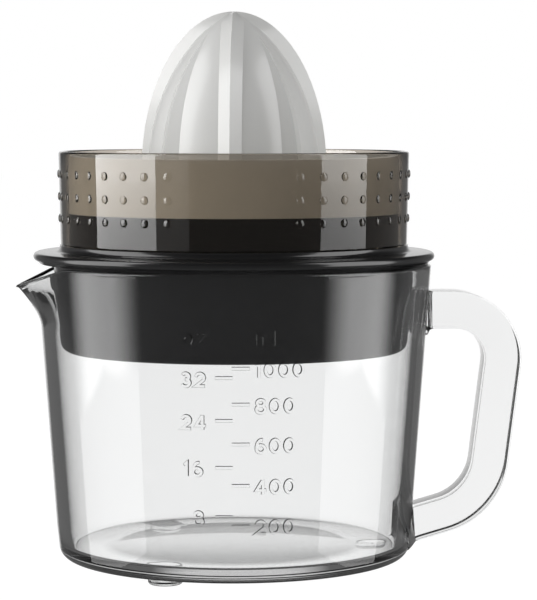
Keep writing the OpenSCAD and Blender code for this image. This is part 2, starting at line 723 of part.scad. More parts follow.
// A ribbed dome on a short skirt: half an ellipse whose flutes deepen from the tip down
module ribbed_dome(radius, dome_h, skirt_h, base_z) {
    rings = 11;
    shares = [0, 0.14, 0.3, 0.5, 0.7, 0.86];
    sides = rib_count * len(shares);
    function height(i) = i == 0 ? -skirt_h : dome_h * sin(90 * (i - 1) / rings);
    function ridge(i) = i == 0 ? radius * 1.015 : radius * cos(90 * (i - 1) / rings);
    function fade(i) = i == 0 ? 1 : min(1, 1.7 * (1 - (i - 1) / rings));
    function scallop(s) = 1 - pow(1 - 2 * min(s, 1 - s), 2.4);
    points = concat(
        [for (i = [0:rings], k = [0:sides - 1])
            let (a = (floor(k / len(shares)) + shares[k % len(shares)]) * 360 / rib_count - 5,
                 r = ridge(i) - flute_depth * fade(i) * scallop(shares[k % len(shares)]) * ridge(i) / radius)
            [r * cos(a - 90), r * sin(a - 90), height(i)]],
        [[0, 0, dome_h], [0, 0, -skirt_h]]);
    tip = (rings + 1) * sides;
    faces = concat(
        [for (i = [0:rings - 1], k = [0:sides - 1])
            let (here = i * sides + k, next = i * sides + (k + 1) % sides)
            each [[here, next + sides, next], [here, here + sides, next + sides]]],
        [for (k = [0:sides - 1]) [rings * sides + k, tip, rings * sides + (k + 1) % sides]],
        [for (k = [0:sides - 1]) [(k + 1) % sides, tip + 1, k]]);
    translate([0, 0, base_z + skirt_h]) polyhedron(points, faces);
}
// The hollow of a cone: an ellipse inside the flutes, open at the bottom
module dome_hollow(radius, dome_h, mid_z, low_z) {
    rotate_extrude() polygon(concat(
        [[0, low_z], [radius, low_z]],
        [for (i = [0:9]) [radius * cos(10 * i), mid_z + dome_h * sin(10 * i)]]));
}
// The lug that turns the large cone with the small one, grown by gap for the notch that takes it
module drive_lug(gap) {
    low_z = cone_z + small_base_t - 0.5;
    block([2 + 2 * gap, lug_w + 2 * gap, 3.6], [small_base_r - 1.8, 0, low_z]);
}
module small_cone() {
    skirt_h = small_mid_z - cone_z - small_base_t;
    shell = 1.8;
    hollow_r = small_cone_r - flute_depth - shell;
    color([0.95, 0.95, 0.94]) on_axis() difference() {
        union() {
            difference() {
                union() {
                    ribbed_dome(small_cone_r, small_dome_h, skirt_h, cone_z + small_base_t);
                    rod(small_base_r, cone_z, small_base_t);
                    for (a = [0, 180]) rotate([0, 0, a]) drive_lug(0);
                }
                dome_hollow(hollow_r, small_dome_h - 6, small_mid_z, cone_z - 1);
            }
            intersection() {
                rod(small_hub_r, small_hub_z, shaft_top_z + 4 - small_hub_z);
                dome_hollow(hollow_r + 0.5, small_dome_h - 5.5, small_mid_z, cone_z - 1);
            }
            round_about(4, 45) translate([small_hub_r - 1, -0.8, small_mid_z])
                cube([hollow_r - small_hub_r + 1.8, 1.6, 6]);
        }
        intersection() {
            rod(shaft_r + 0.15, cone_z - 1, shaft_top_z + seat_gap + 1 - cone_z);
            block([key_w + 0.3, 3 * shaft_r, shaft_top_z + seat_gap + 1 - cone_z], [0, 0, cone_z - 1]);
        }
    }
}
module large_cone() {
    hollow_r = cone_r - flute_depth - cone_t;
    color([0.97, 0.97, 0.96]) on_axis() difference() {
        union() {
            difference() {
                ribbed_dome(cone_r, cone_dome_h, cone_skirt_h, cone_z);
                dome_hollow(hollow_r, cone_dome_h - 6, cone_mid_z, cone_z - 1);
            }
            tube(hollow_r + 0.8, seat_ring_r, seat_ring_z, seat_ring_t);
        }
        rod(small_base_r + 0.4, cone_z - 1, seat_ring_z - cone_z + 1);
        for (a = [0, 180]) rotate([0, 0, a]) drive_lug(0.4);
    }
}

pitcher();
motor_housing();
bottom_cover();
cover_screws();
gear_plate();
plate_screws();
idler_pin();
stator_core();
coil_bobbins();
coil_windings();
shaft_bush();
shaft_seal();
start_switch();
terminal_block();
cord_gland();
output_gear();
drive_shaft();
return_spring();
idler_gear();
rotor_magnet();
rotor_spindle();
switch_button();
juice_collar();
strainer();
pulp_shutter();
small_cone();
large_cone();
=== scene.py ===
# %% [markdown]
# # A citrus press juicer
# This lesson dresses a small kitchen machine: a clear pitcher, a black motor unit in its mouth, a smoky
# collar that catches the juice, and a white ribbed cone that turns under half a fruit.
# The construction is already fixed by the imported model, so it is loaded first and never moved.
# We could model everything by eye, but reading each place from that frame keeps every piece on its seat.

import json
import math

import bmesh
import bpy
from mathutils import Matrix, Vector

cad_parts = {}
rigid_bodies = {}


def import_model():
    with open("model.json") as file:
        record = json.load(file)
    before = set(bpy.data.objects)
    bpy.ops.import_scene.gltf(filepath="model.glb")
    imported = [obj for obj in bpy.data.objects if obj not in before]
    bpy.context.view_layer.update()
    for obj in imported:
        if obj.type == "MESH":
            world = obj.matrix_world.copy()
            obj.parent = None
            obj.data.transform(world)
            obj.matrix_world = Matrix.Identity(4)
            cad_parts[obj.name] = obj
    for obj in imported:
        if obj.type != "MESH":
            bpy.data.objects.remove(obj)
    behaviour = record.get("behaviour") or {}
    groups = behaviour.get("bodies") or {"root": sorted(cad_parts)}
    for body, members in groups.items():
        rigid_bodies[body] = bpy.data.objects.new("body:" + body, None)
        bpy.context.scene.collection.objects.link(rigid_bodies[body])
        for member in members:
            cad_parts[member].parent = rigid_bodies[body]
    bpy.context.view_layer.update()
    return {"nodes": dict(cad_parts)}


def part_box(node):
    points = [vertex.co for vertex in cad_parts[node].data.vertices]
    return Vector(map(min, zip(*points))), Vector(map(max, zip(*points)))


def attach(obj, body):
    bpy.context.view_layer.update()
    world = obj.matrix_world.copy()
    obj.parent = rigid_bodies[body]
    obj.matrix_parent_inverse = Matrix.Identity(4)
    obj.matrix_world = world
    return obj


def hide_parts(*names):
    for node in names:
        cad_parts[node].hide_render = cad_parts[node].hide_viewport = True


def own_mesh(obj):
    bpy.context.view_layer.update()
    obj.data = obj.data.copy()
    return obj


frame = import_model()
nodes = frame["nodes"]

# %% [markdown]
# All shapes below are written in millimetres, because that is how such an appliance is drawn.
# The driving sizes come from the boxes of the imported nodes: the axis that the cone turns about,
# the rim that carries the motor unit, and the reach of the spout and of the handle.

# %% Sizes from the frame
MM = 0.001


def box_mm(node):
    """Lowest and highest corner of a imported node, in millimetres."""
    low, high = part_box(node)
    return low / MM, high / MM


jug_low, jug_high = box_mm("pitcher")
collar_low, collar_high = box_mm("juice_collar")
housing_low, housing_high = box_mm("motor_housing")
cone_low, cone_high = box_mm("large_cone")
cover_low, _ = box_mm("bottom_cover")

axis_x = (collar_low.x + collar_high.x) / 2
rim_z = jug_high.z
rim_r = jug_high.y
spout_reach = axis_x - jug_low.x
handle_reach = jug_high.x - axis_x
print("axis at x", round(axis_x, 2), "rim radius", round(rim_r, 2), "rim height", round(rim_z, 2))

# %% [markdown]
# The first helpers turn lists of points into meshes. A lathe turns an outline round the axis, and a
# skin joins loops of points one after another. Both could be done with modifiers, but plain points
# give exact control over where a crease falls, which is what makes moulded plastic look moulded.

# %% Helpers: from points to pieces


def make_piece(name, points, faces, crease=38):
    """A mesh object from points in millimetres, shaded smooth except at edges sharper than crease."""
    mesh = bpy.data.meshes.new(name)
    mesh.from_pydata([Vector(p) * MM for p in points], [], faces)
    mesh.validate()
    piece = bpy.data.objects.new(name, mesh)
    bpy.context.scene.collection.objects.link(piece)
    tidy_mesh(piece, crease)
    return piece


def tidy_mesh(piece, crease=38, reach=0.002):
    """Joins points that coincide, turns every face outwards and shades the piece smooth."""
    work = bmesh.new()
    work.from_mesh(piece.data)
    bmesh.ops.remove_doubles(work, verts=work.verts, dist=reach * MM)
    bmesh.ops.dissolve_degenerate(work, edges=work.edges, dist=reach * MM)
    bmesh.ops.recalc_face_normals(work, faces=work.faces)
    work.to_mesh(piece.data)
    work.free()
    piece.data.shade_smooth()
    piece.data.set_sharp_from_angle(angle=math.radians(crease))


def skin_faces(rows, cols, close_rows, close_cols):
    """Quads between rows of cols points each."""
    last_row = rows if close_rows else rows - 1
    last_col = cols if close_cols else cols - 1
    return [
        (i * cols + j, i * cols + (j + 1) % cols,
         (i + 1) % rows * cols + (j + 1) % cols, (i + 1) % rows * cols + j)
        for i in range(last_row) for j in range(last_col)
    ]


def turn(r, z, angle, cx=None, cy=0.0):
    """The point at radius r and height z, at an angle in degrees round the axis."""
    a = math.radians(angle)
    return ((axis_x if cx is None else cx) + r * math.cos(a), cy + r * math.sin(a), z)


def lathe(name, outline, steps=144, closed=True, crease=38, cx=None, cy=0.0):
    """Turns an outline of (radius, height) points round the axis."""
    points = [turn(r, z, 360 * i / steps, cx, cy) for i in range(steps) for r, z in outline]
    faces = skin_faces(steps, len(outline), True, closed)
    return make_piece(name, points, faces, crease)


def arc(cx, cy, radius, start, end, steps=8):
    """Points along an arc, from one angle to another, both in degrees."""
    return [
        (cx + radius * math.cos(math.radians(start + (end - start) * i / steps)),
         cy + radius * math.sin(math.radians(start + (end - start) * i / steps)))
        for i in range(steps + 1)
    ]


def rounded(corners, steps=6):
    """An outline from corners (x, y, fillet radius), with each fillet as a short arc."""
    outline = []
    for i, (x, y, radius) in enumerate(corners):
        if not radius:
            outline.append((x, y))
            continue
        here = Vector((x, y))
        back = (Vector(corners[i - 1][:2]) - here).normalized()
        ahead = (Vector(corners[(i + 1) % len(corners)][:2]) - here).normalized()
        half = back.angle(ahead) / 2
        centre = here + (back + ahead).normalized() * radius / math.sin(half)
        start = here + back * radius / math.tan(half) - centre
        end = here + ahead * radius / math.tan(half) - centre
        first = math.degrees(math.atan2(start.y, start.x))
        sweep = (math.degrees(math.atan2(end.y, end.x)) - first + 180) % 360 - 180
        outline += arc(centre.x, centre.y, radius, first, first + sweep, steps)
    return outline


def combine(base, tool, operation="UNION", crease=38):
    """Adds tool to base, or cuts it away. A base with open edges may be left as it is, without an error."""
    cut = base.modifiers.new("combine", "BOOLEAN")
    cut.operation = operation
    cut.solver = "MANIFOLD"
    cut.object = tool
    depsgraph = bpy.context.evaluated_depsgraph_get()
    mesh = bpy.data.meshes.new_from_object(base.evaluated_get(depsgraph))
    base.modifiers.remove(cut)
    base.data = mesh
    bpy.data.objects.remove(tool)
    tidy_mesh(base, crease)
    return base


def smoothstep(low, high, value):
    t = max(0.0, min(1.0, (value - low) / (high - low)))
    return t * t * (3 - 2 * t)


print("helpers ready")

# %% [markdown]
# The camera stands level with the cone's foot, about a metre in front, and looks slightly down with a
# long lens. A long lens keeps the round rim from opening into a wide ellipse, as in catalogue pictures.

# %% Camera
CAMERA_DISTANCE = 961
CAMERA_HEIGHT = 172.6
CAMERA_TURN = 1.9
CAMERA_PITCH = 4.23
CAMERA_YAW = 0.79
CAMERA_LENS = 150
FRONT_ANGLE = -90 - CAMERA_TURN

camera_data = bpy.data.cameras.new("studio_camera")
camera_data.lens = CAMERA_LENS
camera_data.clip_end = 50
camera = bpy.data.objects.new("studio_camera", camera_data)
bpy.context.scene.collection.objects.link(camera)
camera.location = Vector(turn(CAMERA_DISTANCE, CAMERA_HEIGHT, FRONT_ANGLE)) * MM
camera.rotation_euler = (math.radians(90 - CAMERA_PITCH), 0, math.radians(-CAMERA_YAW - CAMERA_TURN))
bpy.context.scene.camera = camera
bpy.context.scene.view_settings.view_transform = "Standard"
print("camera at", tuple(round(v, 3) for v in camera.location))

# %% [markdown]
# Clear and glossy plastic show their surroundings more than themselves, so the room is part of the
# material. What the eye sees directly, or straight through the clear walls, is a white backdrop. What
# is mirrored is a grey studio, dim in front and dimmer overhead, with tall panels of light at both sides.
# A fully white room would be simpler, but then the black motor unit would turn grey and the thick walls
# of the pitcher would vanish.

# %% Room: a white backdrop that mirrors as a grey studio
STUDIO_GREY = 0.185
STUDIO_FRONT = 0.10
FILL = 0.31
# how far a direction points back, forward or up, where each part of the room begins and is full
BACKDROP_FROM, BACKDROP_FULL = 0.90, 0.985
FRONT_FROM, FRONT_FULL = -0.2, -0.9
CEILING_FROM, CEILING_FULL = 0.15, 0.5
CEILING_SHARE = 0.2


def add_node(tree, kind, **values):
    """A node with its properties and inputs set by name."""
    node = tree.nodes.new(kind)
    for key, value in values.items():
        if key in node.inputs:
            node.inputs[key].default_value = value
        else:
            setattr(node, key, value)
    return node


def link(tree, *ends):
    """Links pairs of sockets: out, in, out, in and so on."""
    for out_socket, in_socket in zip(ends[::2], ends[1::2]):
        tree.links.new(out_socket, in_socket)


def math_node(tree, operation, first, second=None, clamp=False):
    """A Math node whose operands are sockets or numbers; gives its output socket."""
    node = tree.nodes.new("ShaderNodeMath")
    node.operation = operation
    node.use_clamp = clamp
    for socket, operand in zip(node.inputs, (first, second)):
        if operand is None:
            continue
        if isinstance(operand, (int, float)):
            socket.default_value = operand
        else:
            tree.links.new(operand, socket)
    return node.outputs[0]


def map_range(tree, value, start, end, low=0.0, high=1.0, kind="SMOOTHSTEP"):
    """A Map Range node that turns start to end into low to high; gives its output socket."""
    node = add_node(tree, "ShaderNodeMapRange", interpolation_type=kind)
    for name, number in zip(("From Min", "From Max", "To Min", "To Max"), (start, end, low, high)):
        node.inputs[name].default_value = number
    tree.links.new(value, node.inputs["Value"])
    return node.outputs[0]


def seen_directly(tree):
    """A socket that is 1 for what is seen directly or through clear walls, and the Light Path node."""
    path = tree.nodes.new("ShaderNodeLightPath")
    unmirrored = math_node(tree, "LESS_THAN", path.outputs["Glossy Depth"], 0.5)
    undiffused = math_node(tree, "LESS_THAN", path.outputs["Diffuse Depth"], 0.5)
    through = math_node(tree, "MULTIPLY", path.outputs["Is Transmission Ray"], unmirrored)
    through = math_node(tree, "MULTIPLY", through, undiffused)
    return math_node(tree, "MAXIMUM", path.outputs["Is Camera Ray"], through), path


world = bpy.data.worlds.new("studio")
bpy.context.scene.world = world
world.use_nodes = True
room = world.node_tree
room.nodes.clear()
seen, path = seen_directly(room)
direction = add_node(room, "ShaderNodeTexCoord")
axes = add_node(room, "ShaderNodeSeparateXYZ")
link(room, direction.outputs["Generated"], axes.inputs[0])
behind = map_range(room, axes.outputs["Y"], BACKDROP_FROM, BACKDROP_FULL)
front = map_range(room, axes.outputs["Y"], FRONT_FROM, FRONT_FULL, STUDIO_GREY, STUDIO_FRONT)
above = map_range(room, axes.outputs["Z"], CEILING_FROM, CEILING_FULL, 1.0, CEILING_SHARE)
mirrored = math_node(room, "MAXIMUM", behind, math_node(room, "MULTIPLY", front, above))
spread = add_node(room, "ShaderNodeMix")
bounced = math_node(room, "GREATER_THAN", path.outputs["Diffuse Depth"], 0.5)
link(room, bounced, spread.inputs["Factor"], mirrored, spread.inputs["A"])
spread.inputs["B"].default_value = FILL
level = math_node(room, "MAXIMUM", seen, spread.outputs["Result"])
backdrop = add_node(room, "ShaderNodeBackground", Strength=1.0)
room_out = add_node(room, "ShaderNodeOutputWorld")
link(room, level, backdrop.inputs["Color"], backdrop.outputs[0], room_out.inputs["Surface"])
print("room: fill", FILL, "mirrored grey", STUDIO_GREY)

# %% [markdown]
# Tall panels of light stand left and right, where a round body mirrors them as upright bands. Round lamps
# would give round spots; tall panels give the long clean bands that make a cylinder read as glossy.
# In a studio, black card keeps a panel off the surfaces it doesn't suit. Light linking does that here:
# the clear wall, the collar, and the cone with the black shell each mirror panels of their own. Two more
# panels, the keys, light the matt surfaces and are mirrored by none. The left side is the brighter one.

# %% Softboxes
LAMP_DISTANCE = 900
LAMP_LOW = -315
LAMP_TOP = 1435
LAMP_HEIGHT = LAMP_TOP - LAMP_LOW
KEY_HEIGHT = 900
KEY_MIDDLE = 520
panels = (
    # name, azimuths of its two edges, brightness, which pieces mirror it
    ("clear_left", -110, -53, 5.2, "clear"),
    ("clear_right", 50, 107, 5.3, "clear"),
    ("collar_left", -98, -50, 8.4, "collar"),
    ("collar_left_glow", -50, -28, 0.7, "collar"),
    ("collar_right", 56, 93, 4.4, "collar"),
    ("cone_left", -108, -60, 2.2, "cone"),
    ("cone_right", 53, 99, 2.0, "cone"),
)
keys = (
    ("key_left", -84, -48, 3.4),
    ("key_right", 82, 114, 2.1),
)


def make_lamp(name, start, end, brightness, height, middle):
    """A panel of light that covers the azimuths from start to end and faces the machine."""
    azimuth = (start + end) / 2
    width = 2 * LAMP_DISTANCE * math.tan(math.radians(end - start) / 2)
    light = bpy.data.lights.new(name, "AREA")
    light.shape = "RECTANGLE"
    light.size = width * MM
    light.size_y = height * MM
    light.energy = brightness * math.pi * light.size * light.size_y
    lamp = bpy.data.objects.new(name, light)
    bpy.context.scene.collection.objects.link(lamp)
    lamp.location = Vector(turn(LAMP_DISTANCE, middle, FRONT_ANGLE + azimuth)) * MM
    lamp.rotation_euler = (math.radians(90), 0, math.radians(azimuth - CAMERA_TURN))
    lamp.visible_camera = False
    lamp.visible_transmission = False
    return lamp


# %% Shading of the panels
# shares of a panel's width, from its middle, where its glow begins to fade, ends, and ends low down
GLOW_FROM, GLOW_END = 0.12, 0.5
LOW_END = 0.42
LOW_SHARE = 0.38
# the line that parts the soft upper glow from the flat lower one, and how much it sinks at the sides
SPLIT_HEIGHT = -93
SPLIT_DROP = 96
SPLIT_SOFT = 6
COLLAR_FADE_LOW = 50
COLLAR_FADE_HIGH = 125
COLLAR_LOW_SHARE = 0.55


def wall_glow(tree, across, height):
    """Fades to both sides above the split line, and is flat and weaker below it."""
    aside = math_node(tree, "ABSOLUTE", math_node(tree, "SUBTRACT", across, 0.5))
    bell = map_range(tree, aside, GLOW_FROM, GLOW_END, 1.0, 0.0)
    over_line = math_node(tree, "ADD", height, math_node(tree, "MULTIPLY", aside, SPLIT_DROP))
    above = map_range(tree, over_line, SPLIT_HEIGHT - SPLIT_SOFT, SPLIT_HEIGHT + SPLIT_SOFT, kind="LINEAR")
    below = math_node(tree, "SUBTRACT", 1.0, above)
    flat = math_node(tree, "MULTIPLY", math_node(tree, "LESS_THAN", aside, LOW_END), LOW_SHARE)
    upper = math_node(tree, "MULTIPLY", bell, above)
    return math_node(tree, "ADD", upper, math_node(tree, "MULTIPLY", flat, below))


def soften(lamp, group):
    """Shades a panel, from its middle to its sides for the clear wall and downwards for the collar."""
    tree = lamp.data.node_tree
    place = add_node(tree, "ShaderNodeNewGeometry")
    split = add_node(tree, "ShaderNodeSeparateXYZ")
    link(tree, place.outputs["Parametric"], split.inputs[0])
    height = math_node(tree, "ADD", math_node(tree, "MULTIPLY", split.outputs["Y"], LAMP_HEIGHT), LAMP_LOW)
    if group == "clear":
        strength = wall_glow(tree, split.outputs["X"], height)
    else:
        strength = map_range(tree, height, COLLAR_FADE_LOW, COLLAR_FADE_HIGH, COLLAR_LOW_SHARE, 1.0)
    link(tree, strength, tree.nodes["Emission"].inputs["Strength"])


GROUPS = ("clear", "collar", "cone")
mirrored_by = {group: bpy.data.collections.new("mirrors_" + group) for group in GROUPS}
for name, start, end, brightness, group in panels:
    lamp = make_lamp(name, start, end, brightness, LAMP_HEIGHT, (LAMP_TOP + LAMP_LOW) / 2)
    if group != "cone":
        lamp.data.use_nodes = True
        soften(lamp, group)
    lamp.visible_diffuse = False
    lamp.light_linking.receiver_collection = mirrored_by[group]
for name, start, end, brightness in keys:
    lamp = make_lamp(name, start, end, brightness, KEY_HEIGHT, KEY_MIDDLE)
    lamp.visible_glossy = False
print("panels:", len(panels), "keys:", len(keys))

# %% [markdown]
# The floor is a white sheet that runs on out of sight. It shows white where nothing shades it and keeps
# a share of the real shadow. Under the thick base a painted shade dims its glow towards the front, and a
# painted dark crescent lies below the back of the base. Mirrored rays pass the sheet by or meet the
# studio's dim front instead, so the drum isn't lit from below; a real table is hidden from a glossy wall in
# the same way by black card.

# %% Floor
FLOOR_SIZE = 6000
FLOOR_WHITE = 0.86
FLOOR_SHOWN = 0.82
FLOOR_GLOW = 1.16
SHADE_R = 54
SHADE_SOFT = 12
SHADE_BACK = 9
# how far behind the axis the painted shade under the base is darkest and lightest, in metres, and its
# levels
SHADE_FRONT_Y, SHADE_REAR_Y = -0.024, 0.032
SHADE_DARK, SHADE_LIGHT = 0.02, 0.80
# the painted dark crescent lies inside the first circle and outside the second: place behind the axis,
# radius, softness
CRESCENT_OUTSIDE = (21.5, 46.9, 2.0)
CRESCENT_INSIDE = (-31, 72.6, 1.0)


def outside_circle(tree, split, back, radius, soft):
    """0 inside a circle on the floor, 1 outside it; back is how far its centre lies behind the axis."""
    x = math_node(tree, "SUBTRACT", split.outputs["X"], axis_x * MM)
    y = math_node(tree, "SUBTRACT", split.outputs["Y"], back * MM)
    reach = math_node(tree, "SQRT", math_node(
        tree, "ADD", math_node(tree, "MULTIPLY", x, x), math_node(tree, "MULTIPLY", y, y)))
    return map_range(tree, reach, (radius - soft) * MM, radius * MM)


def painted_shade_under_base(tree):
    """Painted shade for the floor's glow: 1 out on the open floor, less under the base towards its front,
    and a painted dark crescent at its back.
    """
    place = add_node(tree, "ShaderNodeTexCoord")
    split = add_node(tree, "ShaderNodeSeparateXYZ")
    link(tree, place.outputs["Object"], split.inputs[0])
    depth = map_range(tree, split.outputs["Y"], SHADE_FRONT_Y, SHADE_REAR_Y, SHADE_DARK, SHADE_LIGHT)
    open_floor = outside_circle(tree, split, SHADE_BACK, SHADE_R, SHADE_SOFT)
    level = math_node(tree, "MAXIMUM", open_floor, depth)
    in_back = math_node(tree, "SUBTRACT", 1.0, outside_circle(tree, split, *CRESCENT_OUTSIDE))
    crescent = math_node(tree, "MULTIPLY", in_back, outside_circle(tree, split, *CRESCENT_INSIDE))
    return math_node(tree, "MULTIPLY", level, math_node(tree, "SUBTRACT", 1.0, crescent))


def make_floor():
    """The sheet, which mixes its matt self with the plain white that is seen directly."""
    points = [(x * FLOOR_SIZE, y * FLOOR_SIZE, 0) for x, y in ((-1, -1), (1, -1), (1, 1), (-1, 1))]
    sheet = make_piece("floor", points, [(0, 1, 2, 3)])
    material = bpy.data.materials.new("floor_white")
    material.use_nodes = True
    tree = material.node_tree
    tree.nodes.clear()
    seen, path = seen_directly(tree)
    matte = add_node(tree, "ShaderNodeBsdfDiffuse", Color=(FLOOR_WHITE, FLOOR_WHITE, FLOOR_WHITE, 1))
    glow = add_node(tree, "ShaderNodeEmission", Color=(1, 1, 1, 1))
    mix = add_node(tree, "ShaderNodeMixShader")
    out = add_node(tree, "ShaderNodeOutputMaterial")
    share = math_node(tree, "MULTIPLY", seen, FLOOR_SHOWN)
    # the white glow is dimmed by the painted shade under the base
    strength = math_node(tree, "MULTIPLY", painted_shade_under_base(tree), FLOOR_GLOW)
    link(tree, share, mix.inputs[0], matte.outputs[0], mix.inputs[1], strength, glow.inputs["Strength"])
    mirrored = math_node(tree, "GREATER_THAN", path.outputs["Glossy Depth"], 0.5)
    dim = add_node(tree, "ShaderNodeEmission", Color=(1, 1, 1, 1), Strength=STUDIO_FRONT)
    last = add_node(tree, "ShaderNodeMixShader")
    link(tree, glow.outputs[0], mix.inputs[2], mix.outputs[0], last.inputs[1])
    link(tree, mirrored, last.inputs[0], dim.outputs[0], last.inputs[2])
    link(tree, last.outputs[0], out.inputs["Surface"])
    sheet.data.materials.append(material)
    sheet.visible_glossy = False
    return sheet


floor = make_floor()
print("floor laid")

# %% [markdown]
# Moulded plastic is never one flat colour or one flat gloss. Five effects recur on this machine, so each
# is a node group with named inputs: spark-eroded grain from the mould, soft handling marks in the gloss,
# a slow drift of the pigment, pale worn edges, and fine lines left by machining on metal. A group gives
# out only a colour, a height or a roughness; each material keeps its own shader.

# %% Shared surface effects
# pointiness at which an edge begins to wear and is fully worn
RIDGE_FROM, RIDGE_FULL = 0.54, 0.66


def new_group(name, inputs, outputs):
    """An empty node group with float or colour sockets; gives the tree, its input and its output node."""
    tree = bpy.data.node_groups.new(name, "ShaderNodeTree")
    for socket, value in inputs.items():
        kind = "NodeSocketColor" if isinstance(value, tuple) else "NodeSocketFloat"
        made = tree.interface.new_socket(name=socket, in_out="INPUT", socket_type=kind)
        made.default_value = value
    for socket, kind in outputs.items():
        tree.interface.new_socket(name=socket, in_out="OUTPUT", socket_type=kind)
    return tree, tree.nodes.new("NodeGroupInput"), tree.nodes.new("NodeGroupOutput")


def noise(tree, scale, detail=3.0, stretch=(1, 1, 1)):
    """A noise texture on the piece itself; gives its factor. scale is a number or a socket."""
    place = tree.nodes.new("ShaderNodeTexCoord")
    mapping = tree.nodes.new("ShaderNodeMapping")
    mapping.inputs["Scale"].default_value = stretch
    texture = tree.nodes.new("ShaderNodeTexNoise")
    texture.inputs["Detail"].default_value = detail
    link(tree, place.outputs["Object"], mapping.inputs["Vector"])
    link(tree, mapping.outputs[0], texture.inputs["Vector"])
    if isinstance(scale, (int, float)):
        texture.inputs["Scale"].default_value = scale
    else:
        link(tree, scale, texture.inputs["Scale"])
    return texture.outputs[0]


def make_grain():
    tree, given, gives = new_group(
        "mould_grain", {"Scale": 900.0, "Depth": 1.0}, {"Height": "NodeSocketFloat"})
    fine = noise(tree, given.outputs["Scale"], 4.0)
    coarse = noise(tree, 60.0, 1.0)
    both = math_node(tree, "ADD", fine, math_node(tree, "MULTIPLY", coarse, 0.5))
    link(tree, math_node(tree, "MULTIPLY", both, given.outputs["Depth"]), gives.inputs["Height"])
    return tree


def make_handling():
    given_values = {"Roughness": 0.2, "Spread": 0.1, "Scale": 35.0}
    tree, given, gives = new_group("handling_marks", given_values, {"Roughness": "NodeSocketFloat"})
    smear = noise(tree, given.outputs["Scale"], 2.0)
    hair = noise(tree, 240.0, 2.0, (1, 1, 0.06))
    hair = math_node(tree, "GREATER_THAN", hair, 0.66)
    smear = math_node(tree, "SUBTRACT", smear, 0.5)
    mark = math_node(tree, "ADD", smear, math_node(tree, "MULTIPLY", hair, 0.5))
    spread = math_node(tree, "MULTIPLY", mark, given.outputs["Spread"])
    link(tree, math_node(tree, "ADD", given.outputs["Roughness"], spread, True), gives.inputs["Roughness"])
    return tree


def make_drift():
    tree, given, gives = new_group(
        "pigment_drift", {"Color": (0.8, 0.8, 0.8, 1), "Drift": 0.05}, {"Color": "NodeSocketColor"})
    slow = noise(tree, 18.0, 2.0)
    speck = noise(tree, 700.0, 1.0)
    both = math_node(tree, "ADD", slow, math_node(tree, "MULTIPLY", speck, 0.3))
    swing = math_node(tree, "MULTIPLY", math_node(tree, "SUBTRACT", both, 0.65), given.outputs["Drift"])
    value = add_node(tree, "ShaderNodeHueSaturation")
    link(tree, math_node(tree, "ADD", swing, 1.0), value.inputs["Value"])
    link(tree, given.outputs["Color"], value.inputs["Color"], value.outputs[0], gives.inputs["Color"])
    return tree


def make_wear():
    tree, given, gives = new_group(
        "edge_wear", {"Color": (0.5, 0.5, 0.5, 1), "Worn": (0.8, 0.8, 0.8, 1), "Amount": 0.5},
        {"Color": "NodeSocketColor"})
    shape = tree.nodes.new("ShaderNodeNewGeometry")
    ridge = map_range(tree, shape.outputs["Pointiness"], RIDGE_FROM, RIDGE_FULL, kind="LINEAR")
    broken = math_node(tree, "MULTIPLY", ridge, noise(tree, 160.0, 3.0))
    amount = math_node(tree, "MULTIPLY", broken, given.outputs["Amount"], True)
    mix = add_node(tree, "ShaderNodeMix", data_type="RGBA")
    link(tree, amount, mix.inputs["Factor"], given.outputs["Color"], mix.inputs[6])
    link(tree, given.outputs["Worn"], mix.inputs[7], mix.outputs[2], gives.inputs["Color"])
    return tree


def make_lines():
    tree, given, gives = new_group(
        "machined_lines", {"Depth": 1.0, "Scale": 500.0}, {"Height": "NodeSocketFloat"})
    across = noise(tree, given.outputs["Scale"], 3.0, (0.04, 1, 1))
    link(tree, math_node(tree, "MULTIPLY", across, given.outputs["Depth"]), gives.inputs["Height"])
    return tree


GRAIN, HANDLING, DRIFT, WEAR, LINES = make_grain(), make_handling(), make_drift(), make_wear(), make_lines()
print("shared effects:", [group.name for group in (GRAIN, HANDLING, DRIFT, WEAR, LINES)])

# %% [markdown]
# Each finish is one material. The opaque plastics share one recipe with their own colour, gloss and grain;
# the metals share another. Colours are given as they look on a screen and turned into the linear values
# that light is computed with.

# %% Recipes for plastic and metal


def screen_colour(red, green, blue):
    """A linear colour from screen values of 0 to 255."""
    def linear(c):
        c /= 255
        return c / 12.92 if c <= 0.04045 else ((c + 0.055) / 1.055) ** 2.4
    return (linear(red), linear(green), linear(blue), 1.0)


def use_group(tree, group, **values):
    """Places a shared effect with its own values; a value may be a socket of another node."""
    node = tree.nodes.new("ShaderNodeGroup")
    node.node_tree = group
    for key, value in values.items():
        if isinstance(value, bpy.types.NodeSocket):
            tree.links.new(value, node.inputs[key])
        else:
            node.inputs[key].default_value = value
    return node.outputs[0]


def new_material(name, colour):
    material = bpy.data.materials.new(name)
    material.use_nodes = True
    material.diffuse_color = colour
    tree = material.node_tree
    tree.nodes.clear()
    shader = tree.nodes.new("ShaderNodeBsdfPrincipled")
    out = tree.nodes.new("ShaderNodeOutputMaterial")
    tree.links.new(shader.outputs[0], out.inputs["Surface"])
    return material, tree, shader, out


def bump(tree, shader, height, strength, distance=0.0002):
    node = add_node(tree, "ShaderNodeBump", Strength=strength, Distance=distance)
    link(tree, height, node.inputs["Height"], node.outputs[0], shader.inputs["Normal"])


def plastic(name, screen, roughness, spread=0.08, grain=0.1, scale=900.0, drift=0.05, shine=0.5):
    """Opaque moulded plastic, from its colour on a screen."""
    colour = screen_colour(*screen)
    material, tree, shader, _ = new_material(name, colour)
    shader.inputs["Specular IOR Level"].default_value = shine
    pigment = use_group(tree, DRIFT, Color=colour, Drift=drift)
    gloss = use_group(tree, HANDLING, Roughness=roughness, Spread=spread)
    link(tree, pigment, shader.inputs["Base Color"], gloss, shader.inputs["Roughness"])
    bump(tree, shader, use_group(tree, GRAIN, Scale=scale), grain)
    return material


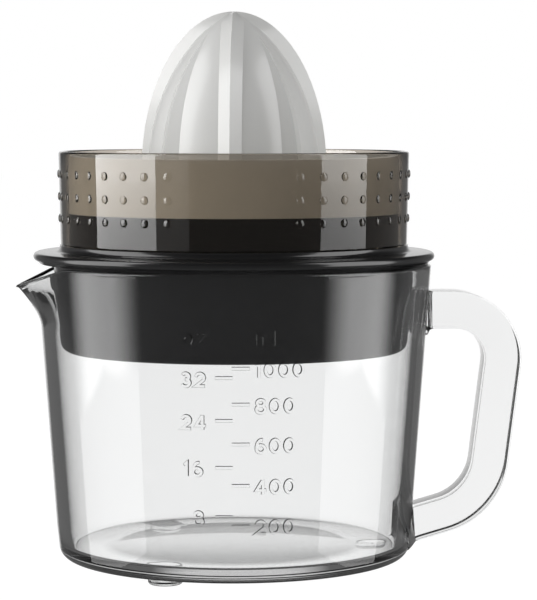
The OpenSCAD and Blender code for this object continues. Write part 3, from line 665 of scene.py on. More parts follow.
def metal(name, screen, roughness, worn, depth=0.2, scale=500.0):
    """Machined metal, from its colour and the colour of its worn edges on a screen."""
    colour = screen_colour(*screen)
    material, tree, shader, _ = new_material(name, colour)
    shader.inputs["Metallic"].default_value = 1.0
    shade = use_group(tree, DRIFT, Color=colour, Drift=0.2)
    shade = use_group(tree, WEAR, Color=shade, Worn=screen_colour(*worn), Amount=0.8)
    gloss = use_group(tree, HANDLING, Roughness=roughness, Spread=0.15)
    link(tree, shade, shader.inputs["Base Color"], gloss, shader.inputs["Roughness"])
    bump(tree, shader, use_group(tree, LINES, Scale=scale), depth)
    return material


# facing at which the painted shade of clear and smoky walls seen at a grazing angle begins and is full
EDGE_SHADE_FROM, EDGE_SHADE_FULL = 0.82, 0.97


def clear_plastic(name, colour, edge_shade, shine, roughness, shadow, absorbed):
    """Clear or smoky plastic: it lets the lamps through to what it covers, and has a painted shade where
    its faces are seen at a grazing angle.
    """
    material, tree, shader, out = new_material(name, colour)
    # painted shade: the colour turns towards the edge shade where the face is seen at a grazing angle
    grazed = add_node(tree, "ShaderNodeLayerWeight", Blend=0.5)
    edge_shade_share = map_range(tree, grazed.outputs["Facing"], EDGE_SHADE_FROM, EDGE_SHADE_FULL)
    tint = add_node(tree, "ShaderNodeMix", data_type="RGBA")
    tint.inputs[6].default_value = colour
    tint.inputs[7].default_value = edge_shade
    link(tree, edge_shade_share, tint.inputs["Factor"], tint.outputs[2], shader.inputs["Base Color"])
    shader.inputs["Transmission Weight"].default_value = 1.0
    shader.inputs["IOR"].default_value = 1.5
    shader.inputs["Specular IOR Level"].default_value = shine
    gloss = use_group(tree, HANDLING, Roughness=roughness, Spread=roughness)
    link(tree, gloss, shader.inputs["Roughness"])
    path = tree.nodes.new("ShaderNodeLightPath")
    passing = add_node(tree, "ShaderNodeBsdfTransparent", Color=shadow)
    mix = tree.nodes.new("ShaderNodeMixShader")
    link(tree, path.outputs["Is Shadow Ray"], mix.inputs[0], shader.outputs[0], mix.inputs[1])
    link(tree, passing.outputs[0], mix.inputs[2], mix.outputs[0], out.inputs["Surface"])
    if absorbed:
        inside = add_node(tree, "ShaderNodeVolumeAbsorption", Color=(0.5, 0.5, 0.5, 1), Density=absorbed)
        link(tree, inside.outputs[0], out.inputs["Volume"])
    return material


print("recipes ready")

# %% Finishes
# the edge shades are painted shade for walls seen at a grazing angle; the tints are the plastics' own
# colour
CLEAR_TINT, CLEAR_EDGE_SHADE, CLEAR_SHADOW = (0.985, 0.988, 0.988, 1), (0.80, 0.81, 0.81, 1), (0.9, 0.9, 0.9, 1)
SMOKY_TINT, SMOKY_EDGE_SHADE, SMOKY_SHADOW = (0.52, 0.475, 0.42, 1), (0.2, 0.2, 0.17, 1), (0.66, 0.63, 0.57, 1)
CLEAR = clear_plastic("clear_wall", CLEAR_TINT, CLEAR_EDGE_SHADE, 0.5, 0.004, CLEAR_SHADOW, 8.0)
SMOKY = clear_plastic("smoky_wall", SMOKY_TINT, SMOKY_EDGE_SHADE, 1.0, 0.02, SMOKY_SHADOW, 0)
BLACK = plastic("gloss_black", (30, 30, 31), 0.17, 0.04, 0.0, shine=1.0)
SATIN_BLACK = plastic("satin_black", (30, 30, 31), 0.5, 0.1, 0.3)
WHITE = plastic("gloss_white", (243, 243, 241), 0.2, 0.05, 0.02, drift=0.02, shine=0.8)
WHITE_SATIN = plastic("satin_white", (240, 240, 237), 0.3, 0.08, 0.1, drift=0.02)
IVORY = plastic("gear_ivory", (232, 229, 214), 0.42, 0.1, 0.15, drift=0.05)
BOBBIN = plastic("bobbin_cream", (214, 205, 178), 0.5, 0.1, 0.3)
BUTTON_RED = plastic("button_red", (186, 38, 30), 0.35, 0.08, 0.1)
SWITCH_DARK = plastic("switch_dark", (46, 48, 54), 0.45, 0.1, 0.3)
TERMINAL = plastic("terminal_grey", (206, 206, 196), 0.5, 0.1, 0.3)
RUBBER = plastic("gland_rubber", (22, 22, 23), 0.75, 0.1, 0.6, 1400.0, 0.12)
SEAL = plastic("seal_rubber", (96, 44, 34), 0.6, 0.1, 0.5, 1200.0, 0.1)
FERRITE = plastic("ferrite", (58, 58, 62), 0.55, 0.15, 0.5, 600.0, 0.2)
SCREW_STEEL = metal("screw_steel", (196, 198, 200), 0.28, (230, 230, 230))
PLATE_STEEL = metal("plate_steel", (176, 180, 184), 0.36, (225, 225, 225), 0.3, 300.0)
PIN_STEEL = metal("pin_steel", (205, 207, 210), 0.16, (240, 240, 240), 0.1, 900.0)
LAMINATION = metal("lamination_steel", (120, 124, 130), 0.45, (180, 180, 184), 0.5, 700.0)
COPPER = metal("winding_copper", (184, 104, 62), 0.3, (226, 150, 104), 0.6, 800.0)
BRONZE = metal("bush_bronze", (190, 154, 96), 0.4, (226, 196, 140), 0.3, 1000.0)


def dress(piece, material):
    """Gives the whole piece one material."""
    piece.data.materials.clear()
    piece.data.materials.append(material)


print("finishes:", len(bpy.data.materials))

# %% [markdown]
# The pitcher is one clear moulding, and its look lives in the thickness of its wall: rays that graze the
# wall are trapped in it and show as grey bands down both sides, deepened by the clear material's painted
# shade. So it is modelled as a true closed solid, outer face, rim, inner face and floor, in one run of
# points for each direction round the axis.
# The spout is a swelling of the same run, and the rim dips towards its tip.

# %% Pitcher wall and spout
WALL = 5
SPOUT_WALL = 3
DRAFT = 4.13
TAPER = math.tan(math.radians(DRAFT))
FOOT_HEIGHT = 3
FLOOR_Z = 8.2
BASE_ROUND = 4.5
INNER_ROUND = 2
RIM_ROUND = 1.4
SPOUT_TIP_R = 4.2
SPOUT_DROP = 8.0
SPOUT_ROOT_Z = rim_z - 23.5
SPOUT_RISE = 15.4
# the rim's slope begins this far behind the tip; the wall thins within these angles of the spout's middle
SPOUT_SLOPE = 19.5
THIN_TO, THIN_FROM = 24, 36
SPOUT_LEAN = 26.8
STRAIGHT_Z = rim_z - 27


def wall_r(z):
    return rim_r - (rim_z - z) * TAPER


def spout_plan(side):
    """Radius of the rim's plan, side degrees away from the spout's middle."""
    tip_x = spout_reach - SPOUT_TIP_R
    half = math.acos((rim_r - SPOUT_TIP_R) / tip_x)
    tip_half = math.atan2(SPOUT_TIP_R * math.sin(half), tip_x + SPOUT_TIP_R * math.cos(half))
    a = abs(math.radians(side))
    if a < tip_half:
        return tip_x * math.cos(a) + math.sqrt(SPOUT_TIP_R ** 2 - (tip_x * math.sin(a)) ** 2)
    return rim_r / math.cos(half - a) if a < half else rim_r


def spout_share(z):
    """How much of the spout's swelling is there at height z."""
    return max(0.0, min(1.0, (z - SPOUT_ROOT_Z) / SPOUT_RISE)) ** 1.5


def rim_height(side):
    """The rim dips in a straight slope from the body of the pitcher to the spout's tip."""
    x = spout_plan(side) * math.cos(math.radians(side))
    slope_start = spout_reach - SPOUT_SLOPE
    share = (x - slope_start) / (spout_reach - slope_start)
    return rim_z - SPOUT_DROP * (share + math.sqrt(share ** 2 + 0.01)) / 2


def outer_r(side, z):
    return wall_r(z) + (spout_plan(side) - rim_r) * spout_share(z)


def inner_r(side, z):
    in_spout = spout_share(z) * (1 - smoothstep(THIN_TO, THIN_FROM, abs(side)))
    lean = math.cos(math.radians(max(0, SPOUT_LEAN - abs(side))))
    return outer_r(side, z) - (WALL + (SPOUT_WALL / lean - WALL) * in_spout)


def pitcher_run(side):
    """From the middle of the underside, out and up over the rim, and back down to the floor's middle."""
    top = rim_height(side)
    base_r = wall_r(FOOT_HEIGHT)
    low = [(0, FOOT_HEIGHT), (20, FOOT_HEIGHT), (40, FOOT_HEIGHT)]
    low += arc(base_r - BASE_ROUND, FOOT_HEIGHT + BASE_ROUND, BASE_ROUND, -90, -DRAFT, 12)
    straight = STRAIGHT_Z - FOOT_HEIGHT - BASE_ROUND
    heights = [FOOT_HEIGHT + BASE_ROUND + straight * i / 10 for i in range(1, 11)]
    heights += [STRAIGHT_Z + (top - RIM_ROUND - STRAIGHT_Z) * i / 18 for i in range(1, 19)]
    run = low + [(outer_r(side, z), z) for z in heights]
    run += arc(outer_r(side, top) - RIM_ROUND, top - RIM_ROUND, RIM_ROUND, 0, 90, 7)[1:]
    run += arc(inner_r(side, top) + RIM_ROUND, top - RIM_ROUND, RIM_ROUND, 90, 180, 7)
    run += [(inner_r(side, z), z) for z in reversed(heights) if z > FLOOR_Z + INNER_ROUND + 1][1:]
    floor_r = inner_r(180, FLOOR_Z)
    run += arc(floor_r - INNER_ROUND, FLOOR_Z + INNER_ROUND, INNER_ROUND, -DRAFT, -90, 6)
    return run + [(40, FLOOR_Z), (20, FLOOR_Z), (0, FLOOR_Z)]


def make_pitcher_wall():
    fine = [i * 0.35 for i in range(17)]
    medium = [6 + i for i in range(1, 31)]
    coarse = [36 + i * 1.5 for i in range(1, 97)]
    right = fine + medium + coarse
    sides = [-s for s in reversed(right[1:-1])] + right
    runs = [[turn(r, z, 180 + side) for r, z in pitcher_run(side)] for side in sides]
    points = [p for run in runs for p in run]
    return make_piece("pitcher_clear", points, skin_faces(len(runs), len(runs[0]), True, False))


pitcher = make_pitcher_wall()
print("pitcher wall:", len(pitcher.data.polygons), "faces")

# %% [markdown]
# The handle is a flat strap bent into a D. It is built as a row of rounded rectangles along its own path,
# starting inside the wall and ending inside it, and flaring a little where it meets the wall, as a mould
# does to spread the load. A curve with a bevel would be shorter, but its section couldn't thin towards
# the foot while the two faces keep their own arcs.

# %% Handle, feet and one clear solid
HANDLE_W = 17.5
HANDLE_EDGE = 0.9
HANDLE_FLARE = 2.2
HANDLE_TOP_Z = rim_z - 10.9
ARM_T = 14.3
GRIP_T = 13.8
TOP_ROUND = 26.2
LOW_ROUND = 32.0
LOW_CENTRE_Z = 43.0
LEAN = 7.2
ARM_SLOPE = 16.2
FOOT_CIRCLE = 54
FOOT_R = 6.5
FOOT_ROUND = 1.2
FOOT_TOP = 3.6
WALL_TOP_X = 71.6
WALL_LOW_X = 65.3
top_centre_x = handle_reach - TOP_ROUND
top_centre_z = HANDLE_TOP_Z - TOP_ROUND
low_centre_x = (top_centre_x - (top_centre_z - LOW_CENTRE_Z) * math.tan(math.radians(LEAN))
                + (TOP_ROUND - LOW_ROUND) / math.cos(math.radians(LEAN)))


def strap_path(top_x, top_r, low_r, low_z):
    """One face of the strap: level out from the wall, round the top, down, and back in at a slope."""
    top = arc(top_x, top_centre_z, top_r, 90, -LEAN, 22)
    low = arc(low_centre_x, low_z, low_r, -LEAN, ARM_SLOPE - 90, 16)
    slope = math.tan(math.radians(ARM_SLOPE))
    path = [(WALL_TOP_X + (top_x - WALL_TOP_X) * i / 12, top_centre_z + top_r) for i in range(12)]
    path += top
    path += [tuple(Vector(top[-1]).lerp(Vector(low[0]), i / 5)) for i in range(1, 5)]
    path += low
    x, z = low[-1]
    back = x - WALL_LOW_X
    return path + [(x - back * i / 12, z - slope * back * i / 12) for i in range(1, 13)]


def flare(x, z):
    """How far the section swells at this distance from the wall."""
    depth = HANDLE_FLARE - min(HANDLE_FLARE, max(0.0, x - wall_r(z)))
    return HANDLE_FLARE - math.sqrt(HANDLE_FLARE ** 2 - depth ** 2)


def strap_section(outer, inner):
    """A rounded rectangle across the strap, as points from the frame's origin."""
    outer, inner = Vector(outer), Vector(inner)
    grow = min(flare(*outer), flare(*inner))
    across = (outer - inner).normalized()
    middle = (outer + inner) / 2
    half_t = (outer - inner).length / 2 + grow
    half_w = HANDLE_W / 2 + grow
    corners = rounded([(half_w, half_t, HANDLE_EDGE), (-half_w, half_t, HANDLE_EDGE),
                       (-half_w, -half_t, HANDLE_EDGE), (half_w, -half_t, HANDLE_EDGE)], 6)
    return [(axis_x + middle.x + across.x * t, w, middle.y + across.y * t) for w, t in corners]


def make_handle():
    in_r = TOP_ROUND - ARM_T
    outside = strap_path(top_centre_x, TOP_ROUND, LOW_ROUND, LOW_CENTRE_Z)
    inside = strap_path(handle_reach - GRIP_T - in_r, in_r, LOW_ROUND - GRIP_T, LOW_CENTRE_Z - 1)
    sections = [strap_section(o, i) for o, i in zip(outside, inside)]
    count = len(sections[0])
    faces = skin_faces(len(sections), count, False, True)
    faces += [tuple(range(count))[::-1], tuple(range(len(sections) * count - count, len(sections) * count))]
    return make_piece("handle", [p for s in sections for p in s], faces)


def make_feet():
    pads = []
    for angle in (0, 120, 240):
        x, y, _ = turn(FOOT_CIRCLE, 0, angle)
        outline = [(0, 0.0)] + arc(FOOT_R - FOOT_ROUND, FOOT_ROUND, FOOT_ROUND, -90, 0, 5)
        outline += [(FOOT_R, FOOT_TOP), (0, FOOT_TOP)]
        pads.append(lathe("foot", outline, 48, False, cx=x, cy=y))
    return pads


combine(pitcher, make_handle())
for pad in make_feet():
    combine(pitcher, pad)
print("pitcher with handle and feet:", len(pitcher.data.polygons), "faces")

# %% [markdown]
# The measuring scale is raised in the wall, clear on clear, and reads by its bent edges, outlined by the
# clear material's painted shade. Each stroke of a numeral is a ribbon with a mitred corner, bent round the
# wall and sunk a little into it, so that a union makes it part of the moulding. Strokes that cross go into
# separate layers, one union each. Only numbers and units are given, as on any jug.

# %% Measuring scale
MARK_HEIGHT = 0.8
MARK_SINK = 0.12
NUMERAL = 5.3
STROKE = 1.35
STROKE_DRAFT = 0.2


def ring(cx, cy, rx, ry, steps=20):
    return [(cx + rx * math.cos(math.tau * i / steps), cy + ry * math.sin(math.tau * i / steps))
            for i in range(steps)], True


def bow(cx, cy, rx, ry, start, end, steps=12):
    angles = [math.radians(start + (end - start) * i / steps) for i in range(steps + 1)]
    return [(cx + rx * math.cos(a), cy + ry * math.sin(a)) for a in angles]


# width, then strokes as (points, closed), all for a numeral of height 1
GLYPHS = {
    "0": (0.76, [ring(0.36, 0.5, 0.31, 0.43, 28)]),
    "1": (0.34, [([(0.0, 0.78), (0.2, 0.93), (0.2, 0.0)], False)]),
    "2": (0.74, [(bow(0.35, 0.64, 0.29, 0.29, 165, -38) + [(0.07, 0.07), (0.68, 0.07)], False)]),
    "3": (0.72, [(bow(0.33, 0.71, 0.25, 0.22, 150, -95), False),
                 (bow(0.33, 0.28, 0.29, 0.25, 95, -155), False)]),
    "4": (0.76, [([(0.47, 0.96), (0.06, 0.29), (0.72, 0.29)], False), ([(0.5, 1.0), (0.5, 0.0)], False)]),
    "6": (0.74, [ring(0.35, 0.31, 0.29, 0.26, 24), (bow(0.42, 0.37, 0.36, 0.57, 80, 175), False)]),
    "8": (0.74, [ring(0.35, 0.73, 0.25, 0.21, 22), ring(0.35, 0.29, 0.3, 0.25, 22)]),
    "o": (0.68, [ring(0.31, 0.35, 0.27, 0.3, 24)]),
    "z": (0.6, [([(0.04, 0.63), (0.5, 0.63), (0.06, 0.07), (0.54, 0.07)], False)]),
    "m": (1.0, [([(0.07, 0.0), (0.07, 0.7)], False),
                (bow(0.28, 0.46, 0.21, 0.2, 175, 0) + [(0.49, 0.0)], False),
                (bow(0.68, 0.46, 0.2, 0.2, 172, 0) + [(0.88, 0.0)], False)]),
    "L": (0.6, [([(0.08, 0.95), (0.08, 0.07), (0.56, 0.07)], False)]),
}
# text, left end and middle height in millimetres
LABELS = (
    ("oz", -18.6, 93.5), ("32", -19.2, 78.3), ("24", -19.2, 62.8), ("16", -18.2, 45.8), ("8", -14.8, 27.7),
    ("mL", 8.2, 93.5), ("1000", 7.8, 81.8), ("800", 7.6, 68.7), ("600", 7.6, 54.2), ("400", 7.6, 39.2),
    ("200", 7.6, 24.4),
)
# left end, right end and height of each tick
TICKS = [(-0.9, 5.5, z) for z in (82.4, 69.4, 54.9, 39.8, 24.9)]
TICKS += [(-6.8, -0.6, z) for z in (79.0, 63.5, 46.4, 28.3)]


def on_wall(x, z, height):
    """Bends a flat point round the front of the wall; height is above the wall's outer face."""
    r = wall_r(z) + height
    return turn(r, z, FRONT_ANGLE + math.degrees(x / wall_r(z)))


def ribbon(points, closed, half):
    """Two rails at half a stroke either side of a line, with mitred corners."""
    rails = []
    count = len(points)
    for i, p in enumerate(points):
        here = Vector(p)
        back = Vector(points[i - 1]) if i or closed else None
        ahead = Vector(points[(i + 1) % count]) if i < count - 1 or closed else None
        first = (here - back).normalized() if back else (ahead - here).normalized()
        second = (ahead - here).normalized() if ahead else first
        normal = Vector((-first.y - second.y, first.x + second.x)).normalized()
        reach = half / max(0.35, normal.dot(Vector((-first.y, first.x))))
        rails.append((here + normal * reach, here - normal * reach))
    return rails


def stroke_piece(points, closed):
    """One raised stroke with slightly drafted sides."""
    wide, narrow = ribbon(points, closed, STROKE / 2), ribbon(points, closed, STROKE / 2 - STROKE_DRAFT)
    rows = []
    for (wl, wr), (nl, nr) in zip(wide, narrow):
        rows += [on_wall(wl.x, wl.y, -MARK_SINK), on_wall(nl.x, nl.y, MARK_HEIGHT),
                 on_wall(nr.x, nr.y, MARK_HEIGHT), on_wall(wr.x, wr.y, -MARK_SINK)]
    faces = skin_faces(len(wide), 4, closed, True)
    if not closed:
        last = len(rows) - 4
        faces += [(3, 2, 1, 0), (last, last + 1, last + 2, last + 3)]
    return rows, faces


def add_scale():
    layers = {}
    for text, left, middle in LABELS:
        pen = left
        for letter in text:
            width, strokes = GLYPHS[letter]
            for layer, (points, closed) in enumerate(strokes):
                placed = [(pen + x * NUMERAL, middle + (y - 0.5) * NUMERAL) for x, y in points]
                layers.setdefault(layer, []).append(stroke_piece(placed, closed))
            pen += (width + 0.24) * NUMERAL
    for left, right, z in TICKS:
        layers[0 if left < -1 else 1].append(
            stroke_piece([(left + (right - left) * i / 4, z) for i in range(5)], False))
    # Known fault: the third layer, which is the last stroke of the m, has no effect. After the first two,
    # the wall has a few edges without two faces each, and the solver then leaves it as it is.
    for layer in sorted(layers):
        points, faces = [], []
        for rows, quads in layers[layer]:
            faces += [tuple(len(points) + i for i in quad) for quad in quads]
            points += rows
        combine(pitcher, make_piece("marks", points, faces, 20))


add_scale()
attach(pitcher, "pitcher")
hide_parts("pitcher")
dress(pitcher, CLEAR)
print("pitcher with its scale:", len(pitcher.data.polygons), "faces")

# %% [markdown]
# The collar is a smoky ring that stands on the ledge of the motor unit. Three rows of small pips round it
# give a wet hand some grip, with a clear space at the front. Each pip is a shallow dome that sinks into
# the wall, so one union adds all of them.

# %% Smoky collar
COLLAR_WALL = 2.0
PIP_R = 1.6
PIP_HEIGHT = 0.65
PIP_SINK = 0.6
PIP_SIDES = 20
PIP_PITCH = 7.93
PIP_START = 21.0
low_z, top_z = collar_low.z, collar_high.z
collar_top_r = collar_high.y
collar_low_r = collar_top_r - 0.7
pip_rows = [low_z + (top_z - low_z) * share for share in (0.282, 0.518, 0.758)]


def collar_r(z):
    return collar_low_r + (collar_top_r - collar_low_r) * (z - low_z) / (top_z - low_z)


def make_collar():
    outline = [(collar_low_r - COLLAR_WALL, low_z + 0.3), (collar_low_r - COLLAR_WALL + 0.3, low_z),
               (collar_low_r - 0.4, low_z), (collar_low_r, low_z + 0.4)]
    outline += [(collar_r(z), z) for z in (low_z + 12, low_z + 24)]
    outline += arc(collar_top_r - 1.0, top_z - 1.0, 1.0, 0, 180, 14)
    outline += [(collar_r(z) - COLLAR_WALL, z) for z in (low_z + 24, low_z + 12)]
    return lathe("collar_smoky", outline, 288)


def add_pips(piece):
    """Domes of PIP_R and PIP_HEIGHT, standing on the wall and sunk into it."""
    dotted = 360 - 2 * PIP_START
    gaps = int(dotted / PIP_PITCH)
    profile = [(PIP_R, -PIP_SINK)]
    profile += [(r, h * PIP_HEIGHT / PIP_R) for r, h in arc(0, 0, PIP_R, 0, 75, 5)]
    points, faces = [], []
    for step in range(gaps + 1):
        angle = FRONT_ANGLE + PIP_START + dotted / gaps * step
        outward = Vector(turn(1, 0, angle)) - Vector((axis_x, 0, 0))
        sideways = Vector((-outward.y, outward.x, 0))
        for z in pip_rows:
            seat = Vector(turn(collar_r(z), z, angle))
            first = len(points)
            for r, h in profile:
                for i in range(PIP_SIDES):
                    a = math.tau * i / PIP_SIDES
                    up = Vector((0, 0, r * math.sin(a)))
                    points.append(seat + outward * h + sideways * r * math.cos(a) + up)
            points.append(seat + outward * PIP_HEIGHT)
            sides = skin_faces(len(profile), PIP_SIDES, False, True)
            faces += [tuple(first + i for i in quad) for quad in sides]
            faces.append(tuple(first + i for i in range(PIP_SIDES)))
            last = first + (len(profile) - 1) * PIP_SIDES
            tip = len(points) - 1
            faces += [(last + i, last + (i + 1) % PIP_SIDES, tip) for i in range(PIP_SIDES)]
    return combine(piece, make_piece("pips", points, faces))


collar = add_pips(make_collar())
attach(collar, "juice_collar")
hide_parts("juice_collar")
dress(collar, SMOKY)
print("collar with pips:", len(collar.data.polygons), "faces")

# %% [markdown]
# The motor unit's shell is one black moulding: a tapered drum that drops into the pitcher, a round-nosed
# flange that rests on the rim, a bowl for the juice and a boss for the shaft. The visible outline follows
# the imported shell, with finer steps so that the upright reflections stay straight.

# %% Motor housing
SEAT = 0.3
DRUM_GAP = 1.6
DRUM_WALL = 2.5
DRUM_ROUND = 4.5
FLANGE_LIFT = 1.0
FLANGE_T = 3.2
LEDGE_RISE = 6.8
NECK_ROUND = 2.3
TOWER_WALL = 2.5
DECK_T = 2.5
BOWL_SLOPE = 3.0
BOSS_R = 12
BOSS_H = 17
BUSH_R = 7
COVER_T = 2.5
PLATE_RISE = 18.3
drum_low_z = housing_low.z
tower_z = housing_high.z
flange_r = housing_high.y
flange_low_z = rim_z + SEAT
flange_top_z = flange_low_z + FLANGE_LIFT + FLANGE_T
ledge_z = flange_low_z + LEDGE_RISE
bowl_z = ledge_z - SEAT
deck_z = bowl_z - DECK_T
boss_z = bowl_z + BOSS_H
tower_r = collar_low_r - COLLAR_WALL - 1.3
tower_in_r = tower_r - TOWER_WALL
cover_top_z = cover_low.z + COVER_T


def drum_r(z):
    return wall_r(z) - WALL - DRUM_GAP


mouth_r = drum_r(drum_low_z) - DRUM_ROUND - SEAT


def make_housing():
    nose = FLANGE_T / 2
    neck_r = collar_low_r + SEAT
    outline = [(mouth_r, drum_low_z)]
    outline += arc(mouth_r + SEAT, drum_low_z + DRUM_ROUND, DRUM_ROUND, -90, -DRAFT, 10)
    outline += [(drum_r(z), z) for z in (drum_low_z + 12, drum_low_z + 23, flange_low_z)]
    outline += [(rim_r - 1.3, flange_low_z)]
    outline += arc(flange_r - nose, flange_top_z - nose, nose, -80, 86, 14)
    outline += arc(neck_r + NECK_ROUND, ledge_z, NECK_ROUND, -90, -180, 8)
    hollow_r = drum_r(flange_low_z) - DRUM_WALL
    outline += rounded([
        (neck_r, ledge_z, 0), (tower_r, ledge_z, 0.4), (tower_r, tower_z, 0.5), (tower_in_r, tower_z, 0.5),
        (tower_in_r, bowl_z, 2.0), (BOSS_R, bowl_z + BOWL_SLOPE, 2.0), (BOSS_R, boss_z, 1.0),
        (BUSH_R, boss_z, 0.4), (BUSH_R, bowl_z + 0.5, 0),
        (BUSH_R - 1, bowl_z + 0.5, 0), (BUSH_R - 1, deck_z, 0),
        (hollow_r - 3, deck_z, 1.5), (hollow_r, deck_z - 4, 1.5),
        (drum_r(cover_top_z + 3) - DRUM_WALL, cover_top_z + 3, 1.0), (mouth_r, cover_top_z + 0.5, 0.5),
        (mouth_r, drum_low_z, 0)])[1:-1]
    return lathe("motor_housing_shell", outline, 288, crease=32)


def prism(name, corners, z0, z1):
    """An upright prism over a plan of (x, y) corners taken from the axis."""
    points = [(axis_x + x, y, z) for z in (z0, z1) for x, y in corners]
    count = len(corners)
    faces = skin_faces(2, count, False, True) + [tuple(range(count))[::-1], tuple(range(count, 2 * count))]
    return make_piece(name, points, faces)


def slab(half_x, y0, y1, radius=0.0):
    corners = [(half_x, y0, radius), (half_x, y1, radius), (-half_x, y1, radius), (-half_x, y0, radius)]
    return rounded(corners, 4) if radius else [c[:2] for c in corners]


def turned_slab(x0, x1, half, angle):
    """A rectangle from x0 to x1 along a direction, half to each side of it."""
    c, s = math.cos(math.radians(angle)), math.sin(math.radians(angle))
    return [(x * c - y * s, x * s + y * c) for x, y in ((x0, -half), (x1, -half), (x1, half), (x0, half))]


DUCT_Y = -(tower_in_r - 12.5)
DUCT_HALF_X, DUCT_HALF_Y = 10, 8
DUCT_WALL = 2
REAR_HALF_X, REAR_Y = 8, 66.5
GLAND_HALF_X, GLAND_H = 5, 4.6
GLAND_FROM, GLAND_TO = 62, 80
POST_R = 4.5
POST_RIB_HALF = 1.5
PILOT_R = 1.5
post_circle_r = mouth_r - 4.0
plate_z = cover_top_z + PLATE_RISE
gland_z = flange_low_z + 0.9
gland_r = flange_r - 0.5
rear_xs = (8, 5, 2, -2, -5, -8)

housing = make_housing()
duct_plan = slab(DUCT_HALF_X, DUCT_Y - DUCT_HALF_Y, DUCT_Y + DUCT_HALF_Y, 1.5)
combine(housing, prism("duct", duct_plan, cover_top_z, deck_z + 1.2), crease=32)
rear = [(x, math.sqrt(gland_r ** 2 - x * x)) for x in rear_xs]
rear = [(REAR_HALF_X, REAR_Y)] + rear + [(-REAR_HALF_X, REAR_Y)]
combine(housing, prism("rear_block", rear, flange_low_z + 0.02, ledge_z - 0.05), crease=32)
for angle in (45, 135, 225, 315):
    x, y, _ = turn(post_circle_r, 0, angle)
    rib = turned_slab(post_circle_r, drum_r(plate_z) - DRUM_WALL + 0.5, POST_RIB_HALF, angle)
    body = [(0, cover_top_z), (POST_R, cover_top_z), (POST_R, plate_z), (0, plate_z)]
    combine(housing, prism("post_rib", rib, cover_top_z + 0.05, plate_z - 0.05), crease=32)
    combine(housing, lathe("post", body, 32, False, cx=x, cy=y), crease=32)
    pilot = [(0, cover_top_z - 1), (PILOT_R, cover_top_z - 1), (PILOT_R, plate_z + 1), (0, plate_z + 1)]
    combine(housing, lathe("pilot", pilot, 24, False, cx=x, cy=y), "DIFFERENCE", 32)
hole_y = DUCT_HALF_Y - DUCT_WALL
hole_plan = slab(DUCT_HALF_X - DUCT_WALL, DUCT_Y - hole_y, DUCT_Y + hole_y, 1.0)
duct_hole = prism("duct_hole", hole_plan, drum_low_z - 1, bowl_z + BOWL_SLOPE + 1)
combine(housing, duct_hole, "DIFFERENCE", 32)
gland_hole = prism("gland_hole", slab(GLAND_HALF_X, GLAND_FROM, GLAND_TO), gland_z, gland_z + GLAND_H)
combine(housing, gland_hole, "DIFFERENCE", 32)
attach(housing, "motor_unit")
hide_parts("motor_housing")
dress(housing, BLACK)
print("motor housing:", len(housing.data.polygons), "faces")

# %% [markdown]
# Both cones share one form: a plump dome with four main ribs that meet at the tip and four lesser ribs
# that fade out below it. Between two ribs the wall is a plain round body, so each rib is a V that
# stands on it. One function gives the section at any height, and the sections are skinned together.

# %% Ribbed cones
CONE_R = 35.5
RIB_CREASE = 13
MAIN_SHAPE = 0.5
LESSER_SHAPE = 0.76
MAIN_HALF = 4.4
RIB_HEIGHT = 2.6
LEAD = FRONT_ANGLE - 2.8
# where the lesser ribs end below the tip, how late they fade, and the widest feet in degrees
LESSER_END = 0.873
LESSER_FADE = 1.8
MAIN_FOOT_MOST = 38.0
BOTH_FEET_MOST = 44.5
DOME_ROWS = 60
SKIRT_GROW = 0.015


def plan_point(radius, angle):
    return Vector((radius * math.cos(math.radians(angle)), radius * math.sin(math.radians(angle))))


def cone_section(t, radius):
    """Points (angle, radius) round one section, t from 0 at the dome's foot to 1 at its tip."""
    scale = radius / CONE_R
    left = max(0.0, 1 - t * t)
    main = radius * left ** MAIN_SHAPE
    lesser = radius * left ** LESSER_SHAPE
    fade = max(0.0, 1 - (min(1.0, t / LESSER_END)) ** LESSER_FADE)
    rise = RIB_HEIGHT * scale * fade
    body = max(0.01, lesser - rise)
    main_spread = math.degrees(math.asin(min(1.0, MAIN_HALF * scale / max(body, 0.1))))
    main_foot = min(MAIN_FOOT_MOST, main_spread)
    lesser_spread = math.degrees(math.asin(min(1.0, 2 * rise / body)))
    lesser_foot = max(0.5, min(BOTH_FEET_MOST - main_foot, lesser_spread))
    points = []
    for quarter in range(4):
        a = LEAD + 90 * quarter
        for side in (0, 1):
            foot = plan_point(body, main_foot)
            ridge = Vector((main, 0))
            flank = [(math.degrees(math.atan2(p.y, p.x)), p.length)
                     for p in (ridge.lerp(foot, i / 5) for i in range(6))]
            low = 45 - lesser_foot
            bodied = [(main_foot + (low - main_foot) * i / 10, body) for i in range(1, 11)]
            foot = plan_point(body, lesser_foot)
            ridge = Vector((lesser, 0))
            crest = [(45 - math.degrees(math.atan2(p.y, p.x)), p.length)
                     for p in (foot.lerp(ridge, i / 4) for i in range(1, 5))]
            half = flank + bodied + crest
            if side == 0:
                points += [(a + angle, r) for angle, r in half]
            else:
                points += [(a + 90 - angle, r) for angle, r in reversed(half[1:-1])]
    return points


def cone_body(name, radius, dome_h, foot_z, mid_z):
    """The ribbed outside as a filled solid, on a skirt that widens a little to its foot."""
    heights = [1 - (1 - i / DOME_ROWS) ** 1.6 for i in range(DOME_ROWS)] + [0.9995]
    rows = []
    for i in range(4):
        grow = 1 + SKIRT_GROW * (1 - i / 4)
        z = foot_z + (mid_z - foot_z) * i / 4
        rows.append([turn(r * grow, z, a) for a, r in cone_section(0.0, radius)])
    for t in heights:
        rows.append([turn(r, mid_z + dome_h * t, a) for a, r in cone_section(t, radius)])
    count = len(rows[0])
    points = [p for row in rows for p in row]
    points += [(axis_x, 0, foot_z), (axis_x, 0, mid_z + dome_h * heights[-1])]
    faces = skin_faces(len(rows), count, False, True)
    low, high = len(points) - 2, len(points) - 1
    last = (len(rows) - 1) * count
    faces += [(j, low, (j + 1) % count) for j in range(count)]
    faces += [(last + j, last + (j + 1) % count, high) for j in range(count)]
    return make_piece(name, points, faces, RIB_CREASE)


